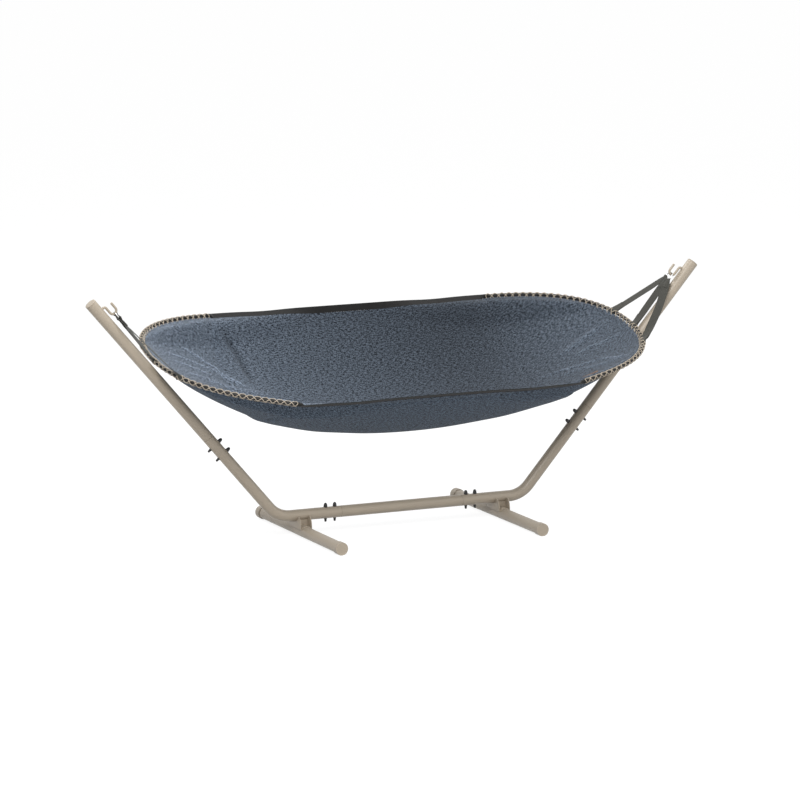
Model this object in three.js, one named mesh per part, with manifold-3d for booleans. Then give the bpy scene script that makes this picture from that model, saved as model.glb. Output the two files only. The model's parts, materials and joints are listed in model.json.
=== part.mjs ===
// Garden hammock: a laced oval fabric bed hung by three straps at each end
// from the hooks of a bolted steel tube stand with two cross feet.
//
// Millimetres, +Z up. X runs along the hammock and Y from its front to its back.
// The stand is drawn about the centre tube's axis and the bed about the line on
// which it swings. The whole is then set on the floor, over the middle of its plan.

import * as THREE from 'three';
import Module from 'manifold-3d';
import { mergeVertices } from 'three/addons/utils/BufferGeometryUtils.js';

const wasm = await Module();
wasm.setup();

// Clearance between pieces that touch, seat or slide into each other
const FIT = 0.3;

// Stand tubes
const TUBE_R = 27.5;
const TUBE_WALL = 2;
const TUBE_SIDES = 16;
const CENTRE_HALF = 320;
const CENTRE_SPIGOT = 120;
const BEND_CORNER_X = 646;
const BEND_R = 140;
const BEND_STEPS = 7;
const POLE_LEAN = THREE.MathUtils.degToRad(49.26);
const POLE_LENGTH = 1434;
const POLE_JOINT_DOWN = 890;
const POLE_SPIGOT = 150;

// Cap that closes each pole's top
const POLE_CAP_PLATE = 3;
const POLE_CAP_DOME = 2.5;
const POLE_CAP_STEM = 22;
const POLE_CAP_WALL = 2.5;

// Bolts, measured from each tube joint along the tube that they go through
const CENTRE_BOLTS = [28, 76];
const POLE_BOLTS = [54, 116];
const BOLT_R = 3;
const BOLT_HOLE_R = 3.4;
const BOLT_HEAD_R = 5.7;
const BOLT_HEAD_DEPTH = 4;
const BOLT_SIDES = 10;
const HEAD_CAP_R = 9.5;
const HEAD_CAP_NECK_R = 7.6;
const HEAD_CAP_HEIGHT = 20.5;
const HEAD_CAP_BASE = 2;
const HEAD_CAP_SHOULDER = 4;
const HEAD_CAP_CROWN = 6;
const HEAD_CAP_TIP = 2;
const CAP_NUT_R = 6.8;
const CAP_NUT_KNOB_R = 5.6;
const CAP_NUT_HEIGHT = 17.5;
const CAP_NUT_BASE = 5;
const CAP_NUT_STEP = 1.5;
const CAP_NUT_CROWN = 3;
const CAP_NUT_TIP = 0.8;
const CAP_NUT_BORE = 11;
const BOLT_END_ROOM = 1.5;
const CAP_SKIRT = 2;

// Feet
const FOOT_X = 525;
const FOOT_LENGTH = 970;
const FOOT_GAP = 18.8;
const FOOT_CAP_WALL = 3.2;
const FOOT_CAP_DEPTH = 42;
const FOOT_CAP_PLATE = 4;
const FOOT_CAP_EDGE = 2.5;
const FOOT_CAP_LIP = 1;
const FOOT_CAP_LIP_DEPTH = 1.5;
const FOOT_FLAT = 0.8;

// Brackets between the feet and the floor tubes: how far the plates reach to front and back at their
// top, bulge and foot, and how far down from the floor tube's axis
const BRACKET_PLATE = 4.2;
const BRACKET_ROOM = 51.4;
const BRACKET_TOP_REACH = 45.5;
const BRACKET_BULGE_REACH = 70;
const BRACKET_FOOT_REACH = 67;
const BRACKET_TOP_DROP = 1;
const BRACKET_BULGE_DROP = 16;
const BRACKET_GRIP = 13.7;
const SPACER_REACH = 20;
const SADDLE_PLATE = 3.5;
const FOOT_BOLT_REACH = 12;

// Hooks, bent from round rod in the plane of the pole
const HOOK_ROD_R = 6;
const HOOK_SIDES = 10;
const HOOK_ROOT_DOWN = 58;
const HOOK_STAND_OFF = 14.5;
const HOOK_BEND_R = 11;
const HOOK_LEG = 31;
const HOOK_U_R = 17;
const HOOK_TIP_LEG = 33;
const HOOK_BEND_STEPS = 5;

// Rings on the hooks
const RING_R = 22;
const RING_WIRE_R = 3;

// Rim of the bed, about the swing line: two bent tubes joined by two side bands
const RIM_TUBE_R = 8.5;
const RIM_WALL = 1.5;
const RIM_SIDES = 10;
const RIM_BORE_SIDES = 5;
const RIM_STEPS = 36;
const RIM_TIP_INSET = 197.8;
const RIM_REACH = 525;
const RIM_HALF_WIDTH = 561;
const RIM_DROP = 286.5;
const RIM_TIP_RISE = 48.5;
const RIM_SHOULDER_RISE_SHARE = 0.49;
const RIM_TIP_FULLNESS = 430;
const RIM_END_FULLNESS = 190;
const RIM_END_ANGLE = THREE.MathUtils.degToRad(15);
const BED_TILT = THREE.MathUtils.degToRad(13.38);

// Cord laced round the rim tubes
const CORD_R = 2;
const CORD_SIDES = 4;
const CORD_STEPS = 8;
const LACE_LOOPS = 24;
const LACE_MARGIN = 62;
const LACE_SLACK = 0.6;

// Webbing bands between the rim tubes' ends
const BAND_WIDTH = 35;
const WEBBING = 3;
const BAND_LAP = 36;
const BAND_SEAM = 0.7;
const BAND_STEPS = 24;
const BACK_BAND_ROLL = THREE.MathUtils.degToRad(75);
const FRONT_BAND_ROLL = THREE.MathUtils.degToRad(35);
const BAND_ROLL_POWER = 0.8;

// Straps from each ring to the rim
const STRAP_WIDTH = 38;
const STRAP_GATHER = 10;
const STRAP_THICKNESS = 2;
const STRAP_PLACES = [-250, -50, 150];
const STRAP_FAN = THREE.MathUtils.degToRad(42);
const STRAP_RING_SLACK = 1.1;
const STRAP_TAIL = 8;
const STRAP_SPREAD = 60;
const STRAP_TURN_STEPS = 7;
const STRAP_STATIONS = [0.18, 0.34, 0.5, 0.66, 0.82];
const STRAP_BOW = 0.5;

// Fabric
const FABRIC = 3;
const FABRIC_COLUMNS = 30;
const FABRIC_ROWS = 14;
const SAG = 392;
const SAG_LENGTH_POWER = 2.27;
const SAG_WIDTH_POWER = 2.07;
const SAG_WIDTH_ROUND = 0.94;
const CORNER_SHARE = 0.42;
const EDGE_SAMPLES = 24;
const TAUT_FROM_U_SHARE = 0.4;
const TAUT_FROM_V_SHARE = 0.75;
const TAUT_EASE_SHARE = 0.8;
const FOLDS = 4;
const FOLD_DEPTH = 5;
const FOLDS_FROM_SHARE = 0.35;

// Leather label sewn on the fabric, front right
const LABEL_FROM_SHARE = 0.62;
const LABEL_TO_SHARE = 0.7;
const LABEL_EDGE_SHARE = 0.945;
const LABEL_DEPTH_SHARE = 0.055;
const LABEL_THICKNESS = 1.5;
const LABEL_COLUMNS = 6;
const LABEL_ROWS = 4;
const LABEL_LIFT = 1.3;

// Sizes that follow from those above
const SPIGOT_R = TUBE_R - TUBE_WALL - FIT;
const FOOT_DROP = 2 * TUBE_R + FOOT_GAP;
const HALF_FACET = Math.PI / TUBE_SIDES;
const FOOT_CAP_R = TUBE_R + FIT + FOOT_CAP_WALL;
const CENTRE_HEIGHT = FOOT_DROP + FOOT_CAP_R - FOOT_FLAT;
const LACE_R = (RIM_TUBE_R + FIT + CORD_R + LACE_SLACK) / Math.cos(Math.PI / CORD_STEPS);
const LACE_OUTER_R = LACE_R + CORD_R;
const STRAP_TURN_R = (LACE_OUTER_R + FIT + STRAP_BOW) / Math.cos(Math.PI / 2 / STRAP_TURN_STEPS)
  + STRAP_THICKNESS / 2;
const EDGE_INSET = STRAP_TURN_R + STRAP_THICKNESS / 2 + FIT + FABRIC / 2;
const UP_POLE = new THREE.Vector3(Math.cos(POLE_LEAN), 0, Math.sin(POLE_LEAN));
const INWARD = new THREE.Vector3(-Math.sin(POLE_LEAN), 0, Math.cos(POLE_LEAN));
const POLE_TOP = new THREE.Vector3(BEND_CORNER_X, 0, 0).addScaledVector(UP_POLE, POLE_LENGTH);
const HOOK_U_INWARD = TUBE_R + HOOK_STAND_OFF + HOOK_U_R;
const HOOK_U_DOWN = HOOK_ROOT_DOWN + HOOK_BEND_R + HOOK_LEG + HOOK_U_R;
const PIVOT = POLE_TOP.clone()
  .addScaledVector(UP_POLE, -HOOK_U_DOWN)
  .addScaledVector(INWARD, HOOK_U_INWARD);
const RIM_TIP_X = PIVOT.x - RIM_TIP_INSET;
const RIM_END_X = RIM_TIP_X - RIM_REACH;

// Materials
const taupe = () => new THREE.MeshStandardMaterial({ color: 0xa49a8c, roughness: 0.45, metalness: 0.3 });
const blackPlastic = () => new THREE.MeshStandardMaterial({ color: 0x161616, roughness: 0.4, metalness: 0 });
const zinc = () => new THREE.MeshStandardMaterial({ color: 0xb9bcc0, roughness: 0.3, metalness: 1 });
const rimPaint = () => new THREE.MeshStandardMaterial({ color: 0x1c1b1a, roughness: 0.5, metalness: 0.3 });
const webbing = () => new THREE.MeshStandardMaterial({ color: 0x45463f, roughness: 0.9, metalness: 0 });
const cord = () => new THREE.MeshStandardMaterial({ color: 0xb9a684, roughness: 0.9, metalness: 0 });
const cloth = () => new THREE.MeshStandardMaterial({ color: 0x5a6472, roughness: 0.95, metalness: 0 });
const leather = () => new THREE.MeshStandardMaterial({ color: 0x6f4a30, roughness: 0.6, metalness: 0 });

function piece(name, geometry, material, parent) {
  const mesh = new THREE.Mesh(geometry, material);
  mesh.name = name;
  parent.add(mesh);
  return mesh;
}

// Joining and cutting

function toSolid(geometry) {
  const bare = geometry.clone();
  bare.deleteAttribute('normal');
  bare.deleteAttribute('uv');
  const merged = mergeVertices(bare, 1e-4);
  return new wasm.Manifold(new wasm.Mesh({
    numProp: 3,
    vertProperties: new Float32Array(merged.attributes.position.array),
    triVerts: new Uint32Array(merged.index.array),
  }));
}

function toGeometry(solid) {
  const mesh = solid.getMesh();
  const geometry = new THREE.BufferGeometry();
  geometry.setAttribute('position', new THREE.BufferAttribute(mesh.vertProperties, 3));
  geometry.setIndex(new THREE.BufferAttribute(mesh.triVerts, 1));
  geometry.computeVertexNormals();
  return geometry;
}

function cut(geometry, cutters) {
  let solid = toSolid(geometry);
  for (const cutter of cutters) {
    solid = solid.subtract(toSolid(cutter));
  }
  return toGeometry(solid);
}

// Basic shapes

function circlePoints(radius, sides) {
  const points = [];
  for (let i = 0; i < sides; i++) {
    const angle = (2 * Math.PI * i) / sides;
    points.push(new THREE.Vector2(radius * Math.cos(angle), radius * Math.sin(angle)));
  }
  return points;
}

function tubeSection(radius, sides, boreRadius, boreSides) {
  const shape = new THREE.Shape(circlePoints(radius, sides));
  if (boreRadius) {
    shape.holes.push(new THREE.Path(circlePoints(boreRadius, boreSides)));
  }
  return shape;
}

// A route through given stations, for an extrusion that steps from one to the next
class Route extends THREE.Curve {
  constructor(stations) {
    super();
    this.stations = stations;
    this.steps = stations.length - 1;
  }

  getPoint(u) {
    return this.stations[Math.round(u * this.steps)].clone();
  }

  getPointAt(u) {
    return this.getPoint(u);
  }

  getTangentAt(u) {
    const i = Math.round(u * this.steps);
    const before = this.stations[Math.max(i - 1, 0)];
    const after = this.stations[Math.min(i + 1, this.steps)];
    return after.clone().sub(before).normalize();
  }
}

function alongRoute(section, stations) {
  const route = new Route(stations);
  return new THREE.ExtrudeGeometry(section, { steps: route.steps, extrudePath: route });
}

// Stations through straight legs joined by arcs, one radius for each inner corner
function roundedRoute(corners, radii, steps) {
  const stations = [corners[0].clone()];
  for (let i = 1; i < corners.length - 1; i++) {
    const back = corners[i - 1].clone().sub(corners[i]).normalize();
    const on = corners[i + 1].clone().sub(corners[i]).normalize();
    const half = back.angleTo(on) / 2;
    const centre = corners[i].clone().addScaledVector(
      back.clone().add(on).normalize(), radii[i - 1] / Math.sin(half));
    const start = corners[i].clone().addScaledVector(back, radii[i - 1] / Math.tan(half));
    const spoke = start.clone().sub(centre);
    const axis = back.clone().cross(on).normalize();
    const turn = Math.PI - 2 * half;
    for (let k = 0; k <= steps; k++) {
      stations.push(centre.clone().add(spoke.clone().applyAxisAngle(axis, -turn * k / steps)));
    }
  }
  stations.push(corners[corners.length - 1].clone());
  return stations.filter((point, i) => i === 0 || point.distanceTo(stations[i - 1]) > 1e-3);
}

// A closed skin over rings of points, each ring turning left about the way ahead
function loft(rings) {
  const count = rings[0].length;
  const positions = [];
  const index = [];
  for (const ring of rings) {
    for (const point of ring) {
      positions.push(point.x, point.y, point.z);
    }
  }
  for (let i = 0; i < rings.length - 1; i++) {
    for (let k = 0; k < count; k++) {
      const a = i * count + k;
      const b = i * count + ((k + 1) % count);
      index.push(a, b, b + count, a, b + count, a + count);
    }
  }
  const last = (rings.length - 1) * count;
  for (let k = 1; k < count - 1; k++) {
    index.push(0, k + 1, k);
    index.push(last, last + k, last + k + 1);
  }
  const geometry = new THREE.BufferGeometry();
  geometry.setAttribute('position', new THREE.Float32BufferAttribute(positions, 3));
  geometry.setIndex(index);
  geometry.computeVertexNormals();
  return geometry;
}

// A flat strip through stations of {at, across, width}
function ribbon(stations, thickness) {
  const rings = stations.map(({ at, across, width }, i) => {
    const before = stations[Math.max(i - 1, 0)].at;
    const after = stations[Math.min(i + 1, stations.length - 1)].at;
    const ahead = after.clone().sub(before).normalize();
    const flat = across.clone().addScaledVector(ahead, -across.dot(ahead)).normalize();
    const out = ahead.clone().cross(flat).multiplyScalar(thickness / 2);
    const side = flat.multiplyScalar(width / 2);
    return [
      at.clone().add(side).add(out),
      at.clone().sub(side).add(out),
      at.clone().sub(side).sub(out),
      at.clone().add(side).sub(out),
    ];
  });
  return loft(rings);
}

function lathe(profile, sides) {
  const points = profile.map(([radius, height]) => new THREE.Vector2(radius, height));
  return new THREE.LatheGeometry(points, sides);
}

// A cutter or bar along X, Y or Z, longer than what it cuts
function bar(radius, length, axis, sides = TUBE_SIDES) {
  const geometry = new THREE.CylinderGeometry(radius, radius, length, sides);
  if (axis === 'x') geometry.rotateZ(Math.PI / 2);
  if (axis === 'z') geometry.rotateX(Math.PI / 2);
  return geometry;
}

// Stand

// Turns a shape drawn with its top at the origin and its axis down -Z onto the pole
function ontoPole(geometry) {
  geometry.rotateY(Math.PI / 2 - POLE_LEAN);
  geometry.translate(POLE_TOP.x, POLE_TOP.y, POLE_TOP.z);
  return geometry;
}

function centreTube() {
  const bore = SPIGOT_R - TUBE_WALL;
  const end = CENTRE_HALF + CENTRE_SPIGOT;
  const tube = lathe([
    [bore, -end], [SPIGOT_R, -end], [SPIGOT_R, -CENTRE_HALF], [TUBE_R, -CENTRE_HALF],
    [TUBE_R, CENTRE_HALF], [SPIGOT_R, CENTRE_HALF], [SPIGOT_R, end], [bore, end], [bore, -end],
  ], TUBE_SIDES);
  tube.rotateZ(-Math.PI / 2);
  const holes = [];
  for (const side of [-1, 1]) {
    for (const along of CENTRE_BOLTS) {
      holes.push(bar(BOLT_HOLE_R, 4 * TUBE_R, 'z', BOLT_SIDES).translate(side * (CENTRE_HALF + along), 0, 0));
    }
  }
  return cut(tube, holes);
}

function lowerTube() {
  const jointLength = POLE_LENGTH - POLE_JOINT_DOWN - FIT;
  const stations = roundedRoute([
    new THREE.Vector3(CENTRE_HALF + FIT, 0, 0),
    new THREE.Vector3(BEND_CORNER_X, 0, 0),
    new THREE.Vector3(BEND_CORNER_X, 0, 0).addScaledVector(UP_POLE, jointLength),
  ], [BEND_R], BEND_STEPS);
  const section = tubeSection(TUBE_R, TUBE_SIDES, TUBE_R - TUBE_WALL, TUBE_SIDES);
  const holes = CENTRE_BOLTS.map((along) => (
    bar(BOLT_HOLE_R, 4 * TUBE_R, 'z', BOLT_SIDES).translate(CENTRE_HALF + along, 0, 0)));
  for (const along of POLE_BOLTS) {
    const hole = bar(BOLT_HOLE_R, 4 * TUBE_R, 'x', BOLT_SIDES);
    hole.translate(0, 0, -POLE_JOINT_DOWN - along);
    holes.push(ontoPole(hole));
  }
  holes.push(bar(BOLT_HOLE_R, 2 * TUBE_R, 'z', BOLT_SIDES).translate(FOOT_X, 0, -TUBE_R));
  return cut(alongRoute(section, stations), holes);
}

function upperTube() {
  const bore = TUBE_R - TUBE_WALL;
  const neck = SPIGOT_R - TUBE_WALL;
  const seam = -POLE_JOINT_DOWN;
  const end = seam - POLE_SPIGOT;
  const tube = lathe([
    [neck, end], [SPIGOT_R, end], [SPIGOT_R, seam], [TUBE_R, seam], [TUBE_R, 0],
    [bore, 0], [bore, seam + TUBE_WALL], [neck, seam + TUBE_WALL], [neck, end],
  ], TUBE_SIDES);
  tube.rotateX(Math.PI / 2);
  const holes = POLE_BOLTS.map((along) => (
    bar(BOLT_HOLE_R, 4 * TUBE_R, 'x', BOLT_SIDES).translate(0, 0, seam - along)));
  const hookHole = bar((HOOK_ROD_R + FIT) / Math.cos(Math.PI / HOOK_SIDES), 2 * TUBE_R, 'x', HOOK_SIDES);
  holes.push(hookHole.translate(-TUBE_R, 0, -HOOK_ROOT_DOWN));
  return ontoPole(cut(tube, holes));
}

function poleCap() {
  const stem = TUBE_R - TUBE_WALL - FIT;
  const cap = lathe([
    [0, FIT], [stem - POLE_CAP_WALL, FIT], [stem - POLE_CAP_WALL, -POLE_CAP_STEM], [stem, -POLE_CAP_STEM],
    [stem, FIT], [TUBE_R, FIT], [TUBE_R, FIT + POLE_CAP_PLATE],
    [0.75 * TUBE_R, FIT + POLE_CAP_PLATE + 0.6 * POLE_CAP_DOME], [0, FIT + POLE_CAP_PLATE + POLE_CAP_DOME],
  ], TUBE_SIDES);
  cap.rotateX(Math.PI / 2);
  return ontoPole(cap);
}

function hookPoint(inward, down) {
  return POLE_TOP.clone().addScaledVector(INWARD, inward).addScaledVector(UP_POLE, -down);
}

function hook() {
  const leg = TUBE_R + HOOK_STAND_OFF;
  const tip = HOOK_U_DOWN - HOOK_U_R - HOOK_TIP_LEG;
  const stations = roundedRoute([
    hookPoint(TUBE_R / 2, HOOK_ROOT_DOWN),
    hookPoint(leg, HOOK_ROOT_DOWN),
    hookPoint(leg, HOOK_U_DOWN),
    hookPoint(leg + 2 * HOOK_U_R, HOOK_U_DOWN),
    hookPoint(leg + 2 * HOOK_U_R, tip),
  ], [HOOK_BEND_R, HOOK_U_R, HOOK_U_R], HOOK_BEND_STEPS);
  return alongRoute(tubeSection(HOOK_ROD_R, HOOK_SIDES), stations);
}

// Fasteners, drawn on Z with the tube's axis at the origin and the head above it

const SEAT = TUBE_R + FIT;

function tubeBolt() {
  return lathe([
    [0, -SEAT - CAP_NUT_BORE + BOLT_END_ROOM], [BOLT_R, -SEAT - CAP_NUT_BORE + BOLT_END_ROOM], [BOLT_R, SEAT],
    [BOLT_HEAD_R, SEAT], [BOLT_HEAD_R, SEAT + BOLT_HEAD_DEPTH], [0, SEAT + BOLT_HEAD_DEPTH],
  ], BOLT_SIDES).rotateX(Math.PI / 2);
}

// Trims a cap's skirt to the tube that it sits on, where the tube runs along X
function seatedOnTube(cap) {
  return cut(cap, [bar(SEAT, 6 * TUBE_R, 'x')]);
}

function headCap() {
  const cavity = BOLT_HEAD_R + FIT;
  const roof = SEAT + BOLT_HEAD_DEPTH + FIT;
  const top = TUBE_R + HEAD_CAP_HEIGHT;
  const foot = SEAT - CAP_SKIRT;
  return seatedOnTube(lathe([
    [cavity, foot], [HEAD_CAP_R, foot], [HEAD_CAP_R, SEAT + HEAD_CAP_BASE],
    [HEAD_CAP_NECK_R, SEAT + HEAD_CAP_BASE + HEAD_CAP_SHOULDER], [HEAD_CAP_NECK_R, top - HEAD_CAP_CROWN],
    [0.78 * HEAD_CAP_NECK_R, top - HEAD_CAP_TIP], [0, top],
    [0, roof], [cavity, roof], [cavity, foot],
  ], BOLT_SIDES).rotateX(Math.PI / 2));
}

function capNut() {
  const bore = BOLT_HOLE_R;
  const roof = SEAT + CAP_NUT_BORE;
  const top = TUBE_R + CAP_NUT_HEIGHT;
  const foot = SEAT - CAP_SKIRT;
  return seatedOnTube(lathe([
    [bore, foot], [CAP_NUT_R, foot], [CAP_NUT_R, SEAT + CAP_NUT_BASE],
    [CAP_NUT_KNOB_R, SEAT + CAP_NUT_BASE + CAP_NUT_STEP], [CAP_NUT_KNOB_R, top - CAP_NUT_CROWN],
    [0.6 * CAP_NUT_KNOB_R, top - CAP_NUT_TIP], [0, top],
    [0, roof], [bore, roof], [bore, foot],
  ], BOLT_SIDES).rotateX(-Math.PI / 2));
}

function addJointFasteners(parent, ending, side) {
  const turned = side < 0 ? Math.PI : 0;
  const places = [];
  CENTRE_BOLTS.forEach((along, i) => {
    places.push({ where: `centre_${i + 1}`, put: (g) => g.translate(CENTRE_HALF + along, 0, 0) });
  });
  POLE_BOLTS.forEach((along, i) => {
    places.push({
      where: `pole_${i + 1}`,
      put: (g) => ontoPole(g.rotateY(-Math.PI / 2).translate(0, 0, -POLE_JOINT_DOWN - along)),
    });
  });
  for (const { where, put } of places) {
    piece(`joint_bolt_${where}_${ending}`, put(tubeBolt()).rotateZ(turned), zinc(), parent);
    piece(`bolt_head_cap_${where}_${ending}`, put(headCap()).rotateZ(turned), blackPlastic(), parent);
    piece(`cap_nut_${where}_${ending}`, put(capNut()).rotateZ(turned), blackPlastic(), parent);
  }
}

// Feet

function footTube() {
  const length = FOOT_LENGTH - 2 * (FOOT_CAP_PLATE + FIT);
  const section = tubeSection(TUBE_R, TUBE_SIDES, TUBE_R - TUBE_WALL, TUBE_SIDES);
  const tube = new THREE.ExtrudeGeometry(section, { depth: length, bevelEnabled: false });
  tube.translate(0, 0, -length / 2).rotateX(Math.PI / 2).rotateY(HALF_FACET);
  return tube.translate(FOOT_X, 0, -FOOT_DROP);
}

function footCap(toBack) {
  const bore = TUBE_R + FIT;
  const face = FOOT_LENGTH / 2;
  const mouth = face - FOOT_CAP_DEPTH;
  const plate = face - FOOT_CAP_PLATE;
  const cup = lathe([
    [0, plate], [bore, plate], [bore, mouth], [FOOT_CAP_R - FOOT_CAP_LIP, mouth],
    [FOOT_CAP_R, mouth + FOOT_CAP_LIP_DEPTH],
    [FOOT_CAP_R, face - FOOT_CAP_EDGE], [FOOT_CAP_R - FOOT_CAP_EDGE, face], [0, face],
  ], TUBE_SIDES);
  cup.rotateY(HALF_FACET);
  if (toBack < 0) cup.rotateZ(Math.PI);
  const floor = new THREE.BoxGeometry(4 * FOOT_CAP_R, 2 * FOOT_LENGTH, 2 * FOOT_CAP_R);
  floor.translate(0, 0, FOOT_FLAT - 2 * FOOT_CAP_R);
  return cut(cup, [floor]).translate(FOOT_X, 0, -FOOT_DROP);
}

// Two plates that cradle the floor tube, joined by a spacer under it and a saddle over the foot tube
function footBracket() {
  const top = -BRACKET_TOP_DROP;
  const bottom = TUBE_R - FOOT_DROP - BRACKET_GRIP;
  const outline = new THREE.Shape();
  outline.moveTo(-BRACKET_TOP_REACH, top);
  outline.quadraticCurveTo(-BRACKET_BULGE_REACH, -BRACKET_BULGE_DROP, -BRACKET_FOOT_REACH, bottom);
  outline.lineTo(BRACKET_FOOT_REACH, bottom);
  outline.quadraticCurveTo(BRACKET_BULGE_REACH, -BRACKET_BULGE_DROP, BRACKET_TOP_REACH, top);
  outline.closePath();
  const width = BRACKET_ROOM + 2 * BRACKET_PLATE;
  const block = new THREE.ExtrudeGeometry(outline, { depth: width, bevelEnabled: false, curveSegments: 6 });
  block.translate(0, 0, -width / 2).rotateX(Math.PI / 2).rotateZ(Math.PI / 2);

  // The spacer is hollow and open below, so that the bolt goes in before the foot tube
  const seat = TUBE_R + FIT;
  const roof = -seat - SADDLE_PLATE;
  const spacer = new THREE.BoxGeometry(width, 2 * SPACER_REACH, 2 * FOOT_DROP);
  const pocket = new THREE.BoxGeometry(
    BRACKET_ROOM - 2 * SADDLE_PLATE, 2 * (SPACER_REACH - SADDLE_PLATE), FOOT_DROP);
  pocket.translate(0, 0, roof - FOOT_DROP / 2);
  const onFoot = (radius) => bar(radius, 8 * TUBE_R, 'y').rotateY(HALF_FACET).translate(0, 0, -FOOT_DROP);
  const room = new THREE.BoxGeometry(BRACKET_ROOM, 4 * BRACKET_FOOT_REACH, 2 * FOOT_DROP);
  room.translate(0, 0, -FOOT_DROP);
  const empty = toSolid(room)
    .subtract(toSolid(spacer).add(toSolid(onFoot(seat + SADDLE_PLATE))).subtract(toSolid(pocket)));
  const solid = toSolid(block)
    .subtract(empty)
    .subtract(toSolid(bar(seat, 8 * TUBE_R, 'x')))
    .subtract(toSolid(onFoot(seat)))
    .subtract(toSolid(bar(BOLT_HOLE_R, 4 * SADDLE_PLATE, 'z', BOLT_SIDES).translate(0, 0, roof)));
  return toGeometry(solid).translate(FOOT_X, 0, 0);
}

function footBolt() {
  const seat = -TUBE_R - FIT - SADDLE_PLATE - FIT;
  return lathe([
    [0, seat - BOLT_HEAD_DEPTH], [BOLT_HEAD_R, seat - BOLT_HEAD_DEPTH], [BOLT_HEAD_R, seat],
    [BOLT_R, seat], [BOLT_R, -TUBE_R + FOOT_BOLT_REACH], [0, -TUBE_R + FOOT_BOLT_REACH],
  ], BOLT_SIDES).rotateX(Math.PI / 2).translate(FOOT_X, 0, 0);
}

function addStand(parent) {
  piece('centre_tube', centreTube(), taupe(), parent);
  for (const [ending, side] of [['left', -1], ['right', 1]]) {
    const turned = side < 0 ? Math.PI : 0;
    piece(`lower_tube_${ending}`, lowerTube().rotateZ(turned), taupe(), parent);
    piece(`upper_tube_${ending}`, upperTube().rotateZ(turned), taupe(), parent);
    piece(`pole_cap_${ending}`, poleCap().rotateZ(turned), taupe(), parent);
    piece(`hook_${ending}`, hook().rotateZ(turned), taupe(), parent);
    addJointFasteners(parent, ending, side);
    piece(`foot_tube_${ending}`, footTube().rotateZ(turned), taupe(), parent);
    piece(`foot_cap_front_${ending}`, footCap(-side).rotateZ(turned), taupe(), parent);
    piece(`foot_cap_back_${ending}`, footCap(side).rotateZ(turned), taupe(), parent);
    piece(`foot_bracket_${ending}`, footBracket().rotateZ(turned), taupe(), parent);
    piece(`foot_bolt_${ending}`, footBolt().rotateZ(turned), zinc(), parent);
  }
}

// Bed, about the swing line

// A quarter of the rim, from the tip (t = 0) to the tube's end (t = 1), at the back right
const RIM_QUARTER = new THREE.CubicBezierCurve3(
  new THREE.Vector3(RIM_TIP_X, 0, RIM_TIP_RISE - RIM_DROP),
  new THREE.Vector3(RIM_TIP_X, RIM_TIP_FULLNESS, RIM_TIP_RISE - RIM_DROP),
  new THREE.Vector3(
    RIM_END_X + RIM_END_FULLNESS * Math.cos(RIM_END_ANGLE),
    RIM_HALF_WIDTH - RIM_END_FULLNESS * Math.sin(RIM_END_ANGLE),
    RIM_SHOULDER_RISE_SHARE * RIM_TIP_RISE - RIM_DROP),
  new THREE.Vector3(RIM_END_X, RIM_HALF_WIDTH, -RIM_DROP),
);

// Place on the rim tube of one end, from its front end (s = -1) by its tip to its back end (s = 1)
function rimFrame(s, side) {
  const at = RIM_QUARTER.getPointAt(Math.abs(s));
  const ahead = RIM_QUARTER.getTangentAt(Math.abs(s));
  if (s < 0) {
    at.y *= -1;
    ahead.x *= -1;
    ahead.z *= -1;
  }
  at.x *= side;
  ahead.x *= side;
  const inward = new THREE.Vector3(-ahead.y * side, ahead.x * side, 0).normalize();
  const up = new THREE.Vector3().crossVectors(inward, ahead).multiplyScalar(-side).normalize();
  return { at, ahead, inward, up };
}

function rimTube(side) {
  const stations = [];
  for (let i = 0; i <= RIM_STEPS; i++) {
    stations.push(rimFrame((2 * i) / RIM_STEPS - 1, side).at);
  }
  const section = tubeSection(RIM_TUBE_R, RIM_SIDES, RIM_TUBE_R - RIM_WALL, RIM_BORE_SIDES);
  return alongRoute(section, stations);
}

function lacePath(side) {
  const quarter = RIM_QUARTER.getLength();
  const reach = 1 - LACE_MARGIN / quarter;
  const count = LACE_LOOPS * CORD_STEPS;
  const path = [];
  for (let i = 0; i <= count; i++) {
    const { at, inward, up } = rimFrame(reach * ((2 * i) / count - 1), side);
    const angle = (2 * Math.PI * i) / CORD_STEPS;
    const out = inward.clone().multiplyScalar(Math.cos(angle)).addScaledVector(up, Math.sin(angle));
    path.push({ at: at.addScaledVector(out, LACE_R), out });
  }
  return path;
}

function lacing(side) {
  const path = lacePath(side);
  const rings = path.map(({ at, out }, i) => {
    const before = path[Math.max(i - 1, 0)].at;
    const after = path[Math.min(i + 1, path.length - 1)].at;
    const ahead = after.clone().sub(before).normalize();
    const radial = out.clone().addScaledVector(ahead, -out.dot(ahead)).normalize();
    const across = ahead.clone().cross(radial);
    return circlePoints(CORD_R, CORD_SIDES).map(({ x, y }) => (
      at.clone().addScaledVector(radial, x).addScaledVector(across, y)));
  });
  return loft(rings);
}

// Least gap between one loop of the lacing and the next
function laceGap(side) {
  const path = lacePath(side);
  let least = Infinity;
  for (let i = 0; i < path.length; i++) {
    for (let k = i + CORD_STEPS / 2; k < path.length; k++) {
      least = Math.min(least, path[i].at.distanceTo(path[k].at));
    }
  }
  return least - 2 * CORD_R;
}

// Height of the bands: clear of the rim tubes as far as the bands lap over them
function bandHeight() {
  let s = 1;
  while (rimFrame(s, 1).at.x < RIM_END_X + BAND_LAP) s -= 0.005;
  return rimFrame(s, 1).at.z + RIM_TUBE_R + FIT + WEBBING / 2;
}

const BAND_Z = bandHeight();

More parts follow.
